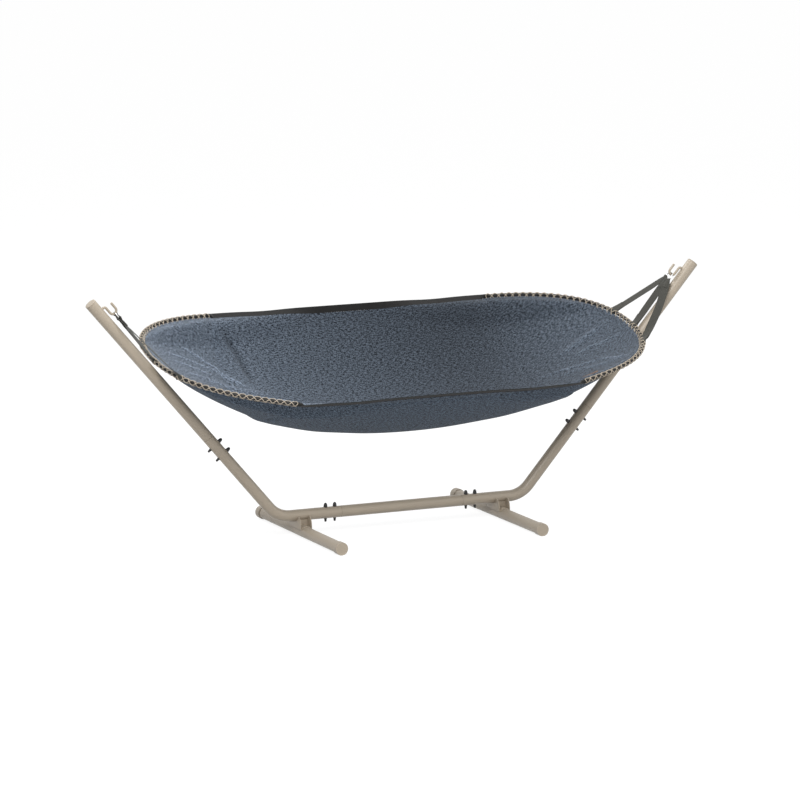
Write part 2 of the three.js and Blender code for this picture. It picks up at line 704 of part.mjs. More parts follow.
// Cross-section of a side band at x: its taut outer edge and the way from there to the fabric
function bandSection(x, toBack) {
  const share = Math.max(0, 1 - (x / RIM_END_X) ** 2);
  const roll = (toBack > 0 ? BACK_BAND_ROLL : FRONT_BAND_ROLL) * share ** BAND_ROLL_POWER;
  const outer = new THREE.Vector3(
    x, toBack * (RIM_HALF_WIDTH + BAND_WIDTH / 2), BAND_Z);
  const down = new THREE.Vector3(0, -toBack * Math.cos(roll), -Math.sin(roll));
  return { outer, down };
}

function sideBand(toBack) {
  const stations = [];
  const end = RIM_END_X + BAND_LAP;
  for (let i = 0; i <= BAND_STEPS; i++) {
    const { outer, down } = bandSection(((2 * i) / BAND_STEPS - 1) * end, toBack);
    stations.push({ at: outer.addScaledVector(down, BAND_WIDTH / 2), across: down, width: BAND_WIDTH });
  }
  return ribbon(stations, WEBBING);
}

// Rings and straps

function strapAnchor(place, side) {
  let low = -1;
  let high = 1;
  for (let i = 0; i < 40; i++) {
    const middle = (low + high) / 2;
    if (rimFrame(middle, side).at.y < place) low = middle;
    else high = middle;
  }
  return rimFrame(low, side);
}

// Plane of a ring: the way that the straps pull, the width and the ring's axis
function ringFrame(side) {
  const pivot = new THREE.Vector3(side * PIVOT.x, 0, 0);
  const tip = new THREE.Vector3(side * RIM_TIP_X, 0, RIM_TIP_RISE - RIM_DROP);
  const pull = tip.sub(pivot).normalize();
  const width = new THREE.Vector3(0, 1, 0);
  const axis = new THREE.Vector3().crossVectors(pull, width).normalize();
  const centre = pivot.addScaledVector(pull, RING_R - (HOOK_ROD_R + RING_WIRE_R + FIT));
  return { centre, pull, width, axis };
}

function hangingRing(side) {
  const { centre, pull, width, axis } = ringFrame(side);
  const ring = new THREE.TorusGeometry(RING_R, RING_WIRE_R, 8, 20);
  ring.applyMatrix4(new THREE.Matrix4().makeBasis(pull, width, axis));
  return ring.translate(centre.x, centre.y, centre.z);
}

// Half turn round a wire or tube, ending on the side that "over" points to
function halfTurn(centre, ahead, over, radius, across, width) {
  const stations = [];
  for (let i = 0; i <= STRAP_TURN_STEPS; i++) {
    const angle = Math.PI * (i / STRAP_TURN_STEPS - 0.5);
    const at = centre.clone()
      .addScaledVector(ahead, radius * Math.cos(angle))
      .addScaledVector(over, radius * Math.sin(angle));
    stations.push({ at, across, width });
  }
  return stations;
}

function strap(number, side) {
  const { centre, pull, width } = ringFrame(side);
  const fan = (number - 1) * STRAP_FAN;
  const outward = pull.clone().multiplyScalar(Math.cos(fan)).addScaledVector(width, Math.sin(fan));
  const along = width.clone().multiplyScalar(Math.cos(fan)).addScaledVector(pull, -Math.sin(fan));
  const wire = centre.clone().addScaledVector(outward, RING_R);
  const anchor = strapAnchor(STRAP_PLACES[number], side);
  const rimAlong = anchor.ahead.clone();
  if (rimAlong.dot(along) < 0) rimAlong.negate();

  const down = anchor.at.clone().sub(wire);
  const length = down.length();
  down.normalize();
  const toRim = down.clone().addScaledVector(rimAlong, -down.dot(rimAlong)).normalize();
  const rimOver = toRim.clone().cross(rimAlong).multiplyScalar(side).normalize();
  const ringOver = outward.clone().cross(along).multiplyScalar(side).normalize();
  const ringTurn = RING_WIRE_R + FIT + STRAP_RING_SLACK + STRAP_THICKNESS / 2;

  const start = wire.clone().addScaledVector(outward, STRAP_TAIL).addScaledVector(ringOver, -ringTurn);
  const inward = outward.clone().negate();
  const top = halfTurn(wire, inward, ringOver, ringTurn, along, STRAP_GATHER);
  const bottom = halfTurn(anchor.at, toRim, rimOver, STRAP_TURN_R, rimAlong, STRAP_WIDTH).reverse();
  const tail = anchor.at.clone().addScaledVector(toRim, -STRAP_TAIL).addScaledVector(rimOver, -STRAP_TURN_R);
  const middle = STRAP_STATIONS.map((share) => ({
    at: wire.clone().addScaledVector(down, share * length)
      .addScaledVector(ringOver, ringTurn * (1 - share)).addScaledVector(rimOver, STRAP_TURN_R * share * 0.5),
    across: along.clone().lerp(rimAlong, share).normalize(),
    width: Math.min(STRAP_WIDTH, STRAP_GATHER + (STRAP_WIDTH - STRAP_GATHER) * share * length / STRAP_SPREAD),
  }));
  return ribbon([
    { at: start, across: along, width: STRAP_GATHER },
    ...top,
    ...middle,
    ...bottom,
    { at: tail, across: rimAlong, width: STRAP_WIDTH },
  ], STRAP_THICKNESS);
}

// Fabric

// Evenly spaced points along a line of points
function evenly(path, count) {
  const curve = new THREE.CurvePath();
  for (let i = 0; i < path.length - 1; i++) {
    curve.add(new THREE.LineCurve3(path[i], path[i + 1]));
  }
  const points = [];
  for (let i = 0; i <= count; i++) {
    points.push(curve.getPointAt(i / count));
  }
  return points;
}

function rimEdge(s, side) {
  const { at, inward } = rimFrame(s, side);
  return at.addScaledVector(inward, EDGE_INSET);
}

function bandEdge(x, toBack) {
  const { outer, down } = bandSection(x, toBack);
  return outer.addScaledVector(down, BAND_WIDTH + FIT + BAND_SEAM);
}

// Long edge of the fabric, left to right, from corner to corner
function longEdge(toBack) {
  const path = [];
  for (let i = 0; i <= EDGE_SAMPLES; i++) {
    path.push(rimEdge(toBack * (CORNER_SHARE + (1 - CORNER_SHARE) * i / EDGE_SAMPLES), -1));
  }
  for (let i = 1; i < EDGE_SAMPLES; i++) {
    path.push(bandEdge(((2 * i) / EDGE_SAMPLES - 1) * RIM_END_X, toBack));
  }
  for (let i = EDGE_SAMPLES; i >= 0; i--) {
    path.push(rimEdge(toBack * (CORNER_SHARE + (1 - CORNER_SHARE) * i / EDGE_SAMPLES), 1));
  }
  return evenly(path, FABRIC_COLUMNS);
}

// Short edge of the fabric, front to back, round the tip of one end
function shortEdge(side) {
  const path = [];
  for (let i = -EDGE_SAMPLES; i <= EDGE_SAMPLES; i++) {
    path.push(rimEdge(CORNER_SHARE * i / EDGE_SAMPLES, side));
  }
  return evenly(path, FABRIC_ROWS);
}

// Share of the sag that a place takes: none in the corners, which are pulled flat between rim and band
function slackAt(u, v) {
  const lengthwise = (Math.abs(u) - TAUT_FROM_U_SHARE) / (1 - TAUT_FROM_U_SHARE);
  const widthwise = (Math.abs(v) - TAUT_FROM_V_SHARE) / (1 - TAUT_FROM_V_SHARE);
  return THREE.MathUtils.smoothstep(1 - lengthwise - widthwise, 0, TAUT_EASE_SHARE);
}

// Height of the folds that run in from each end and die out towards the middle
function foldAt(u, v) {
  const reach = THREE.MathUtils.smoothstep(Math.abs(u), FOLDS_FROM_SHARE, 1) * (1 - Math.abs(u)) * 4;
  return FOLD_DEPTH * reach * Math.sin(FOLDS * Math.PI * v) * (1 - v * v);
}

function sagAt(u, v) {
  const lengthwise = 1 - Math.abs(u) ** SAG_LENGTH_POWER;
  const widthwise = (1 - Math.abs(v) ** SAG_WIDTH_POWER) ** SAG_WIDTH_ROUND;
  return SAG * lengthwise * widthwise * slackAt(u, v) + foldAt(u, v);
}

// The hanging cloth: its four edges blended across, then let down by its sag
function clothPoints() {
  const front = longEdge(-1);
  const back = longEdge(1);
  const left = shortEdge(-1);
  const right = shortEdge(1);
  const rows = [];
  for (let i = 0; i <= FABRIC_COLUMNS; i++) {
    const a = i / FABRIC_COLUMNS;
    const row = [];
    for (let k = 0; k <= FABRIC_ROWS; k++) {
      const b = k / FABRIC_ROWS;
      const point = new THREE.Vector3()
        .addScaledVector(front[i], 1 - b)
        .addScaledVector(back[i], b)
        .addScaledVector(left[k], 1 - a)
        .addScaledVector(right[k], a)
        .addScaledVector(left[0], -(1 - a) * (1 - b))
        .addScaledVector(right[0], -a * (1 - b))
        .addScaledVector(left[FABRIC_ROWS], -(1 - a) * b)
        .addScaledVector(right[FABRIC_ROWS], -a * b);
      point.z -= sagAt(2 * a - 1, 2 * b - 1);
      row.push(point);
    }
    rows.push(row);
  }
  return rows;
}

// A closed sheet over a grid of points, as thick as given and lifted along its normals
function sheet(rows, thickness, lift) {
  const columns = rows.length;
  const count = rows[0].length;
  const normalAt = (i, k) => {
    const lengthwise = rows[Math.min(i + 1, columns - 1)][k].clone().sub(rows[Math.max(i - 1, 0)][k]);
    const widthwise = rows[i][Math.min(k + 1, count - 1)].clone().sub(rows[i][Math.max(k - 1, 0)]);
    return lengthwise.cross(widthwise).normalize();
  };
  const positions = [];
  for (const offset of [lift + thickness / 2, lift - thickness / 2]) {
    for (let i = 0; i < columns; i++) {
      for (let k = 0; k < count; k++) {
        const point = rows[i][k].clone().addScaledVector(normalAt(i, k), offset);
        positions.push(point.x, point.y, point.z);
      }
    }
  }
  const index = [];
  const below = columns * count;
  const at = (i, k) => i * count + k;
  for (let i = 0; i < columns - 1; i++) {
    for (let k = 0; k < count - 1; k++) {
      const [a, b, c, d] = [at(i, k), at(i + 1, k), at(i + 1, k + 1), at(i, k + 1)];
      index.push(a, b, c, a, c, d);
      index.push(below + a, below + c, below + b, below + a, below + d, below + c);
    }
  }
  const wall = (a, b) => index.push(a, below + a, below + b, a, below + b, b);
  for (let i = 0; i < columns - 1; i++) {
    wall(at(i, 0), at(i + 1, 0));
    wall(at(i + 1, count - 1), at(i, count - 1));
  }
  for (let k = 0; k < count - 1; k++) {
    wall(at(0, k + 1), at(0, k));
    wall(at(columns - 1, k), at(columns - 1, k + 1));
  }
  const geometry = new THREE.BufferGeometry();
  geometry.setAttribute('position', new THREE.Float32BufferAttribute(positions, 3));
  geometry.setIndex(index);
  geometry.computeVertexNormals();
  return geometry;
}

// Place on the cloth's facets, each cell of the grid being two triangles
function clothAt(rows, u, v) {
  const x = (u + 1) / 2 * FABRIC_COLUMNS;
  const y = (v + 1) / 2 * FABRIC_ROWS;
  const i = Math.min(Math.floor(x), FABRIC_COLUMNS - 1);
  const k = Math.min(Math.floor(y), FABRIC_ROWS - 1);
  const corner = x - i > y - k ? rows[i + 1][k] : rows[i][k + 1];
  const first = Math.max(x - i, y - k);
  const second = Math.min(x - i, y - k);
  return rows[i][k].clone().multiplyScalar(1 - first)
    .addScaledVector(corner, first - second)
    .addScaledVector(rows[i + 1][k + 1], second);
}

function label(rows) {
  const patch = [];
  for (let i = 0; i <= LABEL_COLUMNS; i++) {
    const u = LABEL_FROM_SHARE + (LABEL_TO_SHARE - LABEL_FROM_SHARE) * i / LABEL_COLUMNS;
    const row = [];
    for (let k = 0; k <= LABEL_ROWS; k++) {
      row.push(clothAt(rows, u, -LABEL_EDGE_SHARE + LABEL_DEPTH_SHARE * k / LABEL_ROWS));
    }
    patch.push(row);
  }
  return sheet(patch, LABEL_THICKNESS, FABRIC / 2 + LABEL_THICKNESS / 2 + LABEL_LIFT);
}

function addBed(parent) {
  const rows = clothPoints();
  piece('fabric', sheet(rows, FABRIC, 0), cloth(), parent);
  piece('leather_label', label(rows), leather(), parent);
  piece('side_band_back', sideBand(1), webbing(), parent);
  piece('side_band_front', sideBand(-1), webbing(), parent);
  for (const [ending, side] of [['left', -1], ['right', 1]]) {
    piece(`rim_tube_${ending}`, rimTube(side), rimPaint(), parent);
    piece(`lacing_${ending}`, lacing(side), cord(), parent);
    piece(`hanging_ring_${ending}`, hangingRing(side), zinc(), parent);
    ['front', 'middle', 'back'].forEach((place, number) => {
      piece(`strap_${place}_${ending}`, strap(number, side), webbing(), parent);
    });
  }
}

const stand = new THREE.Group();
addStand(stand);

const bed = new THREE.Group();
addBed(bed);
bed.position.z = PIVOT.z;
bed.rotation.x = BED_TILT;

const group = new THREE.Group();
group.add(stand, bed);
group.updateMatrixWorld(true);
const plan = new THREE.Box3().setFromObject(group, true).getCenter(new THREE.Vector3());
group.position.set(0, -plan.y, CENTRE_HEIGHT);

console.log(`least gap between the lacing's loops: ${laceGap(1).toFixed(2)} mm`);

export default group;
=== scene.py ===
"""Garden hammock on its tube stand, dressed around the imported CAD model. Metres, +Z up.

The stand is worked out from the centre tube's axis and the bed from the line on which it swings,
as the CAD does.
"""
import json
import math

import bmesh
import bpy
import numpy as np
from mathutils import Matrix, Vector

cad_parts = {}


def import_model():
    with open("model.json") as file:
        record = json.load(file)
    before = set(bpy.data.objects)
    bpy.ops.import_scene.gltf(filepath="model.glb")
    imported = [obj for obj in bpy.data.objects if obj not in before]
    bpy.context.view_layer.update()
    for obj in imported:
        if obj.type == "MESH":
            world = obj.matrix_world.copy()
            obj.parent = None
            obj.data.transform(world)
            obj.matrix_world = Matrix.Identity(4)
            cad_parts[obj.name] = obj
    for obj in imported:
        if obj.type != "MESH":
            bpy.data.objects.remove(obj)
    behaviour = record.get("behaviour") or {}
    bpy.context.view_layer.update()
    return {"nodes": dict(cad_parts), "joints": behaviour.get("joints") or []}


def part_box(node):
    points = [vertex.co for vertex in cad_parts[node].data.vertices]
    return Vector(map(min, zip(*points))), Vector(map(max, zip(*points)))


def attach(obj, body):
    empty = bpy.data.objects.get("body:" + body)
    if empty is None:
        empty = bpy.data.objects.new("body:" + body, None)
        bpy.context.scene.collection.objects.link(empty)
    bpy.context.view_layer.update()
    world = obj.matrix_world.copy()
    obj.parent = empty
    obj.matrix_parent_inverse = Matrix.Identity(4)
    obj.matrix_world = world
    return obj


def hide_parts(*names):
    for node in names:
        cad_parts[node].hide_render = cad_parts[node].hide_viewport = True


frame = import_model()
MM = 0.001

# Places taken from the frame
_low, _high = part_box("centre_tube")
AXIS_Y = (_low.y + _high.y) / 2
AXIS_Z = (_low.z + _high.z) / 2
TUBE_R = (_high.z - _low.z) / 2
SWING = frame["joints"][0]["pos_m"]

# Stand
FIT = 0.3 * MM
TUBE_WALL = 2 * MM
SPIGOT_R = TUBE_R - TUBE_WALL - FIT
CENTRE_HALF = 320 * MM
CENTRE_SPIGOT = 120 * MM
BEND_CORNER_X = 646 * MM
BEND_R = 140 * MM
POLE_LEAN = math.radians(49.26)
POLE_LENGTH = 1434 * MM
POLE_JOINT_DOWN = 890 * MM
POLE_SPIGOT = 150 * MM
TUBE_END_EASE = 1.4 * MM
LONGEST_LEG = 60 * MM
SEAM = 1.6 * MM
POLE_CAP_PLATE = 3 * MM
POLE_CAP_DOME = 2.5 * MM
POLE_CAP_STEM = 22 * MM
POLE_CAP_STEM_WALL = 2.5 * MM
POLE_CAP_EASE = 0.8 * MM
CENTRE_BOLTS = (28 * MM, 76 * MM)
POLE_BOLTS = (54 * MM, 116 * MM)
BOLT_R = 3 * MM
BOLT_HEAD_R = 5.7 * MM
BOLT_HEAD_DEPTH = 4 * MM
SEAT = TUBE_R + FIT
HEAD_CAP_R = 9.5 * MM
HEAD_CAP_NECK_R = 8.7 * MM
HEAD_CAP_FLARE = (2.5 * MM, 6 * MM)
HEAD_CAP_HEIGHT = 20.5 * MM
CAP_NUT_R = 6.8 * MM
CAP_NUT_KNOB_R = 5.6 * MM
CAP_NUT_FLARE = (4.6 * MM, 5.4 * MM)
CAP_NUT_HEIGHT = 17.5 * MM
CAP_NUT_BORE = 11 * MM
CAP_SKIRT = 2 * MM
CAP_DOME = 12.5 * MM
CAP_SIDES = 48
CAP_NUT_DOME = 5 * MM
HEAD_CAP_EASE = 0.9 * MM
CAP_NUT_EASE = 0.5 * MM
FOOT_X = 525 * MM
FOOT_LENGTH = 970 * MM
FOOT_DROP = 2 * TUBE_R + 18.8 * MM
FOOT_CAP_R = TUBE_R + FIT + 3.2 * MM
FOOT_CAP_DEPTH = 42 * MM
FOOT_CAP_PLATE = 4 * MM
FOOT_CAP_EDGE = 2.5 * MM
FOOT_CAP_RECESS = 0.7 * MM
FOOT_CAP_FACE_INSET = 3.5 * MM
BRACKET_PLATE = 4.2 * MM
BRACKET_ROOM = 51.4 * MM
BRACKET_TOP = (45.5 * MM, -1 * MM)
BRACKET_BULGE = (70 * MM, -16 * MM)
BRACKET_FOOT = (67 * MM, -60 * MM)
BRACKET_EASE = 1.1 * MM
SPACER_REACH = 20 * MM
SADDLE_PLATE = 3.5 * MM
FOOT_BOLT_REACH = 12 * MM
WASHER_FACE = 0.6 * MM
HOOK_ROD_R = 6 * MM
HOOK_END_EASE = 1.8 * MM
HOOK_ROOT_DOWN = 58 * MM
HOOK_STAND_OFF = 14.5 * MM
HOOK_BEND_R = 11 * MM
HOOK_LEG = 31 * MM
HOOK_U_R = 17 * MM
HOOK_TIP_LEG = 33 * MM
RING_R = 22 * MM
RING_WIRE_R = 3 * MM
WELD_HEIGHT = 0.1
WELD_WIDTH = 0.09

UP_POLE = np.array([math.cos(POLE_LEAN), 0, math.sin(POLE_LEAN)])
INWARD = np.array([-math.sin(POLE_LEAN), 0, math.cos(POLE_LEAN)])
POLE_TOP = np.array([BEND_CORNER_X, 0, 0]) + UP_POLE * POLE_LENGTH
HOOK_U_INWARD = TUBE_R + HOOK_STAND_OFF + HOOK_U_R
HOOK_U_DOWN = HOOK_ROOT_DOWN + HOOK_BEND_R + HOOK_LEG + HOOK_U_R
PIVOT_X = (POLE_TOP - UP_POLE * HOOK_U_DOWN + INWARD * HOOK_U_INWARD)[0]

# Bed, about the swing line before its tilt
BED_TILT = math.radians(13.38)
RIM_TUBE_R = 8.5 * MM
RIM_WALL = 1.5 * MM
RIM_TUBE_EASE = 0.8 * MM
RIM_TIP_X = PIVOT_X - 197.8 * MM
RIM_END_X = RIM_TIP_X - 525 * MM
RIM_HALF_WIDTH = 561 * MM
RIM_DROP = 286.5 * MM
RIM_TIP_RISE = 48.5 * MM
RIM_SHOULDER_RISE = 0.49
RIM_TIP_FULLNESS = 430 * MM
RIM_END_FULLNESS = 190 * MM
RIM_END_ANGLE = math.radians(15)
CORD_R = 1.5 * MM
LACE_R = RIM_TUBE_R + CORD_R
LACE_CROSSING = 0.8 * MM
LACE_BITE = 6 * MM
LACE_TURNS = 24
LACE_MARGIN = 4 * MM
LACE_STEPS = 26
LACE_LEAN_MIDDLE = math.radians(-14)
LACE_LEAN_END = math.radians(38)
LACE_TIP_TURN = 0.16
LACE_SIDES = 10
LACE_LIFT_REACH = 9 * MM
LACE_LIFT_EASE = 7 * MM
BAND_WIDTH = 35 * MM
BAND_SLEEVE = 22 * MM
BAND_SLEEVE_R = RIM_TUBE_R + 1.7 * MM
BAND_SPREAD = 16 * MM
BAND_ROUND_LENGTH = 6 * MM
BAND_RISE = 2.5 * MM
BAND_DIP = 5 * MM
BAND_DIP_X = 450 * MM
BAND_DIP_WIDTH = 120 * MM
BAND_SEAM_INSET = 4 * MM
BAND_SIDES = 48
BAND_SLEEVE_STEPS = 8
WEBBING = 2.6 * MM
BACK_BAND_ROLL = math.radians(60)
BACK_BAND_END_ROLL = math.radians(20)
BACK_BAND_FLAT = 0.52
BACK_BAND_TURN = 0.36
FRONT_BAND_ROLL = math.radians(42)
FRONT_BAND_END_ROLL = math.radians(36)
FRONT_BAND_FLAT = 0.98
FRONT_BAND_TURN = 0.1
STRAP_WIDTH = 38 * MM
STRAP_RING_WIDTH = 29 * MM
STRAP_THICKNESS = 2 * MM
STRAP_PLACES = (("front", -250 * MM), ("middle", -50 * MM), ("back", 150 * MM))
STRAP_FAN = math.radians(42)
STRAP_LAYER = 2.2 * MM
STRAP_APART = STRAP_THICKNESS * 0.55
STRAP_ROOM = 40 * MM
STRAP_TWIST_END = 0.35
STRAP_TWISTS = {
    ("front", "right"): math.radians(-50),
    ("middle", "right"): math.radians(-20),
    ("front", "left"): math.radians(8),
    ("middle", "left"): math.radians(22),
    ("back", "left"): math.radians(18),
}
STRAP_BOW = 12 * MM
STRAP_TAIL = 62 * MM
STRAP_EASE_AT_RING = 9 * MM
STRAP_EASE_AT_RIM = 20 * MM
STRAP_OPENING = 80 * MM
STRAP_CUP = 0.16
STRAP_SEAM_AT = 0.36
STRAP_STITCH = 3.2 * MM
STRAP_STITCH_PITCH = 4.5 * MM
SAG = 373 * MM
SAG_LENGTH_POWER = 2.08
SAG_WIDTH_POWER = 2.07
SAG_WIDTH_ROUND = 0.94
CORNER_SHARE = 0.42
TAUT_FROM_U = 0.45
TAUT_FROM_V = 0.79
TAUT_EASE = 0.8
FABRIC = 2.2 * MM
FOLD_IN = 30 * MM
FOLD_HALF_WIDTH = 11 * MM
FOLD_HEIGHT = 6 * MM
# Painted highlight along the front edge's fold
FRONT_FOLD_HIGHLIGHT = 0.6
HEM = 22 * MM
HEM_EASE = 4 * MM
HEM_SEAM_INSET = 5 * MM
HEM_FABRIC = 3.4 * MM
EDGE_REACH = 11.6 * MM
EDGE_DOWN = math.radians(34)
FABRIC_COLUMNS = 460
FABRIC_ROWS = 250
EDGE_CROWDING = 0.6
FABRIC_FLAT = (1.43, 2.62)
# The cloth's upper face is paler towards the tips: from and to which |x|, and the gain added
TIP_GAIN_FROM = 450 * MM
TIP_GAIN_TO = 1150 * MM
TIP_GAIN = 0.55
# Strength of the painted highlight along the fold lines, and of the painted shade in a trough
FOLD_PAINTED_LIGHT = 0.85
# Painted shade on the cloth's upper face along x, darker to the right and less dark at the right tip: from x,
# to x, and the tone at each
PAINTED_SHADE_DROP = (-0.45, 0.6, 1.05, 0.52)
PAINTED_SHADE_RISE = (0.65, 1.05, 1.0, 1.2)
UNDERSIDE_TINT = (1.06, 1.14, 1.2, 1.0)
# Folds of the taut ends: (u, v) along each line, half width, height and how much paler it is painted, a
# painted highlight on its ridge, or painted shade where negative
CREASES = (
    (((-0.80, 0.75), (-0.734, 0.69), (-0.595, 0.532), (-0.463, 0.381)), 8 * MM, 5 * MM, 0.9),
    (((-0.88, 0.57), (-0.776, 0.577), (-0.619, 0.52), (-0.489, 0.401)), 7 * MM, 4 * MM, 0.8),
    (((-0.84, 0.47), (-0.786, 0.481), (-0.62, 0.45)), 7 * MM, 4 * MM, 0.8),
    (((-0.80, 0.33), (-0.753, 0.356), (-0.463, 0.372), (-0.38, 0.37)), 14 * MM, 5 * MM, 0.6),
    (((-0.57, 0.93), (-0.555, 0.876), (-0.508, 0.755), (-0.458, 0.449)), 16 * MM, -6 * MM, -0.5),
    (((0.97, -0.1), (0.935, -0.051), (0.836, 0.085), (0.75, 0.1)), 8 * MM, 4 * MM, 0.8),
    (((0.95, -0.8), (0.923, -0.711), (0.825, -0.213), (0.695, -0.002), (0.58, 0.09)), 8 * MM, 5 * MM, 0.9),
    (((0.9, -0.62), (0.876, -0.5), (0.747, -0.163), (0.65, -0.03)), 8 * MM, 4 * MM, 0.7),
    (((0.93, 0.33), (0.896, 0.283), (0.805, 0.242), (0.72, 0.2)), 22 * MM, 7 * MM, 0.5),
)
CREASE_FADE = 0.25
LABEL_PLACE = (0.66, -0.893)
LABEL_HALF_LENGTH = 50 * MM
LABEL_HALF_WIDTH = 22 * MM
LABEL_TURN = math.radians(-14)
LABEL_THICKNESS = 1.6 * MM
LABEL_ROUNDING = 0.12
LABEL_STEPS = 25
LABEL_PATCH_STEPS = 60
LABEL_STITCH = 2.6 * MM
LABEL_STITCH_PITCH = 3.6 * MM
THREAD_R = 0.45 * MM
STITCH = 4.2 * MM
STITCH_PITCH = 6 * MM

# Surroundings
FLOOR_REACH = 60.0
FLOOR_DEPTH = 0.5 * MM
FLOOR_PALE = 0.52
FLOOR_SHADE = 0.22
FLOOR_GLOW = 0.89
ROOM_LEVEL = 0.46
KEY_POWER = 290
FILL_POWER = 60
TOP_POWER = 170

# Camera, at the photograph's viewing angle
CAMERA_AZIMUTH = math.radians(-24.784)
CAMERA_ELEVATION = math.radians(10.097)
CAMERA_DISTANCE = 21.43
CAMERA_LENS = 200.916
CAMERA_TARGET = (-0.003, 0.5173)

SIDES = 64
STAND = Matrix.Translation((0, AXIS_Y, AXIS_Z))
BED = Matrix.Translation(SWING) @ Matrix.Rotation(BED_TILT, 4, "X")
ON_POLE = Matrix.Translation(POLE_TOP) @ Matrix.Rotation(math.pi / 2 - POLE_LEAN, 4, "Y")
ALONG_X = Matrix.Rotation(math.pi / 2, 4, "Y")
ALONG_Y = Matrix.Rotation(-math.pi / 2, 4, "X")
ENDS = (("left", -1), ("right", 1))


def end_matrix(side):
    """The right end is drawn, and the left end is the same turned half round."""
    return STAND @ Matrix.Rotation(0 if side > 0 else math.pi, 4, "Z")


# Points and skins

def unit(vectors):
    return vectors / np.linalg.norm(vectors, axis=-1, keepdims=True)


def moved(matrix, points):
    table = np.array(matrix)
    return points @ table[:3, :3].T + table[:3, 3]


def smooth(value):
    value = np.clip(value, 0, 1)
    return value * value * (3 - 2 * value)


def turns(count):
    """Angles of one full turn, in equal steps."""
    return np.arange(count) * 2 * math.pi / count


def circled(first, second, angles):
    """Ways round a circle, at angles from the first way to the second and on."""
    return first * np.cos(angles)[:, None] + second * np.sin(angles)[:, None]


def square_to(ahead, across):
    """The way across, made square to the way ahead."""
    return unit(across - ahead * np.sum(across * ahead, axis=-1, keepdims=True))


def bowed(start, corner, end, share):
    """The curve from start to end that a corner pulls to itself."""
    return (1 - share) ** 2 * start + 2 * share * (1 - share) * corner + share ** 2 * end


def blended(first, second, third, fourth, s, t):
    """A place among four corners: s leads from first to second, and t from these two to third and fourth."""
    return first * (1 - s) * (1 - t) + second * s * (1 - t) + third * (1 - s) * t + fourth * s * t


def domed(radius, top, depth, angles):
    """Outline of (radius, height) over a dome, at angles from its foot."""
    return [(radius * math.cos(a), top - depth * (1 - math.sin(a))) for a in angles]


def looked_up(where, along, values):
    """Points or ways at given distances along a line."""
    return np.stack([np.interp(where, along, values[:, c]) for c in range(3)], axis=1)


def distances(path):
    """Distance of each point from the first, along the path."""
    return np.concatenate([[0], np.cumsum(np.linalg.norm(np.diff(path, axis=0), axis=1))])


def frames(path, first):
    """Ways ahead, across and up at each point of a path, without twist."""
    ahead = unit(np.gradient(path, axis=0))
    across = np.empty_like(path)
    current = np.array(first, float)
    for i, way in enumerate(ahead):
        current = square_to(way, current)
        across[i] = current
    return ahead, across, np.cross(ahead, across)


def spaced(path, least):
    """The path without the points that are nearer than least to the one before."""
    steps = np.linalg.norm(np.diff(path, axis=0), axis=1)
    return path[np.concatenate([[True], steps > least])]


def rounded_route(corners, radii, steps):
    """Straight legs joined by arcs, one radius for each inner corner."""
    points = [np.array(corners[0], float)]
    for corner, before, after, radius in zip(corners[1:-1], corners, corners[2:], radii):
        corner = np.array(corner, float)
        back = unit(before - corner)
        onward = unit(after - corner)
        half = math.acos(np.clip(back @ onward, -1, 1)) / 2
        centre = corner + unit(back + onward) * radius / math.sin(half)
        start = corner + back * radius / math.tan(half)
        axis = Vector(np.cross(back, onward)).normalized()
        for share in np.linspace(0, 1, steps + 1):
            turn = Matrix.Rotation(-share * (math.pi - 2 * half), 3, axis)
            points.append(centre + np.array(turn) @ (start - centre))
    points.append(np.array(corners[-1], float))
    return np.array(points)


def divided(path, longest):
    """The path with its long legs cut up, so that its skin has no long faces."""
    points = [path[0]]
    for start, end in zip(path, path[1:]):
        count = max(1, math.ceil(np.linalg.norm(end - start) / longest))
        points.extend(start + (end - start) * (i + 1) / count for i in range(count))
    return np.array(points)


def eased(profile, radius, steps=4):
    """An outline of (radius, height) with its corners rounded, apart from those on the axis."""
    corners = [np.array(point, float) for point in profile]
    is_closed = corners[0][0] > 0 and corners[-1][0] > 0
    points = []
    for i, corner in enumerate(corners):
        if not is_closed and i in (0, len(corners) - 1):
            points.append(corner)
            continue
        before = corners[i - 1] - corner
        after = corners[(i + 1) % len(corners)] - corner
        cut = min(radius, 0.45 * np.linalg.norm(before), 0.45 * np.linalg.norm(after))
        start = corner + unit(before) * cut
        end = corner + unit(after) * cut
        points.extend(bowed(start, corner, end, np.linspace(0, 1, steps + 1)[:, None]))
    return np.array(points)


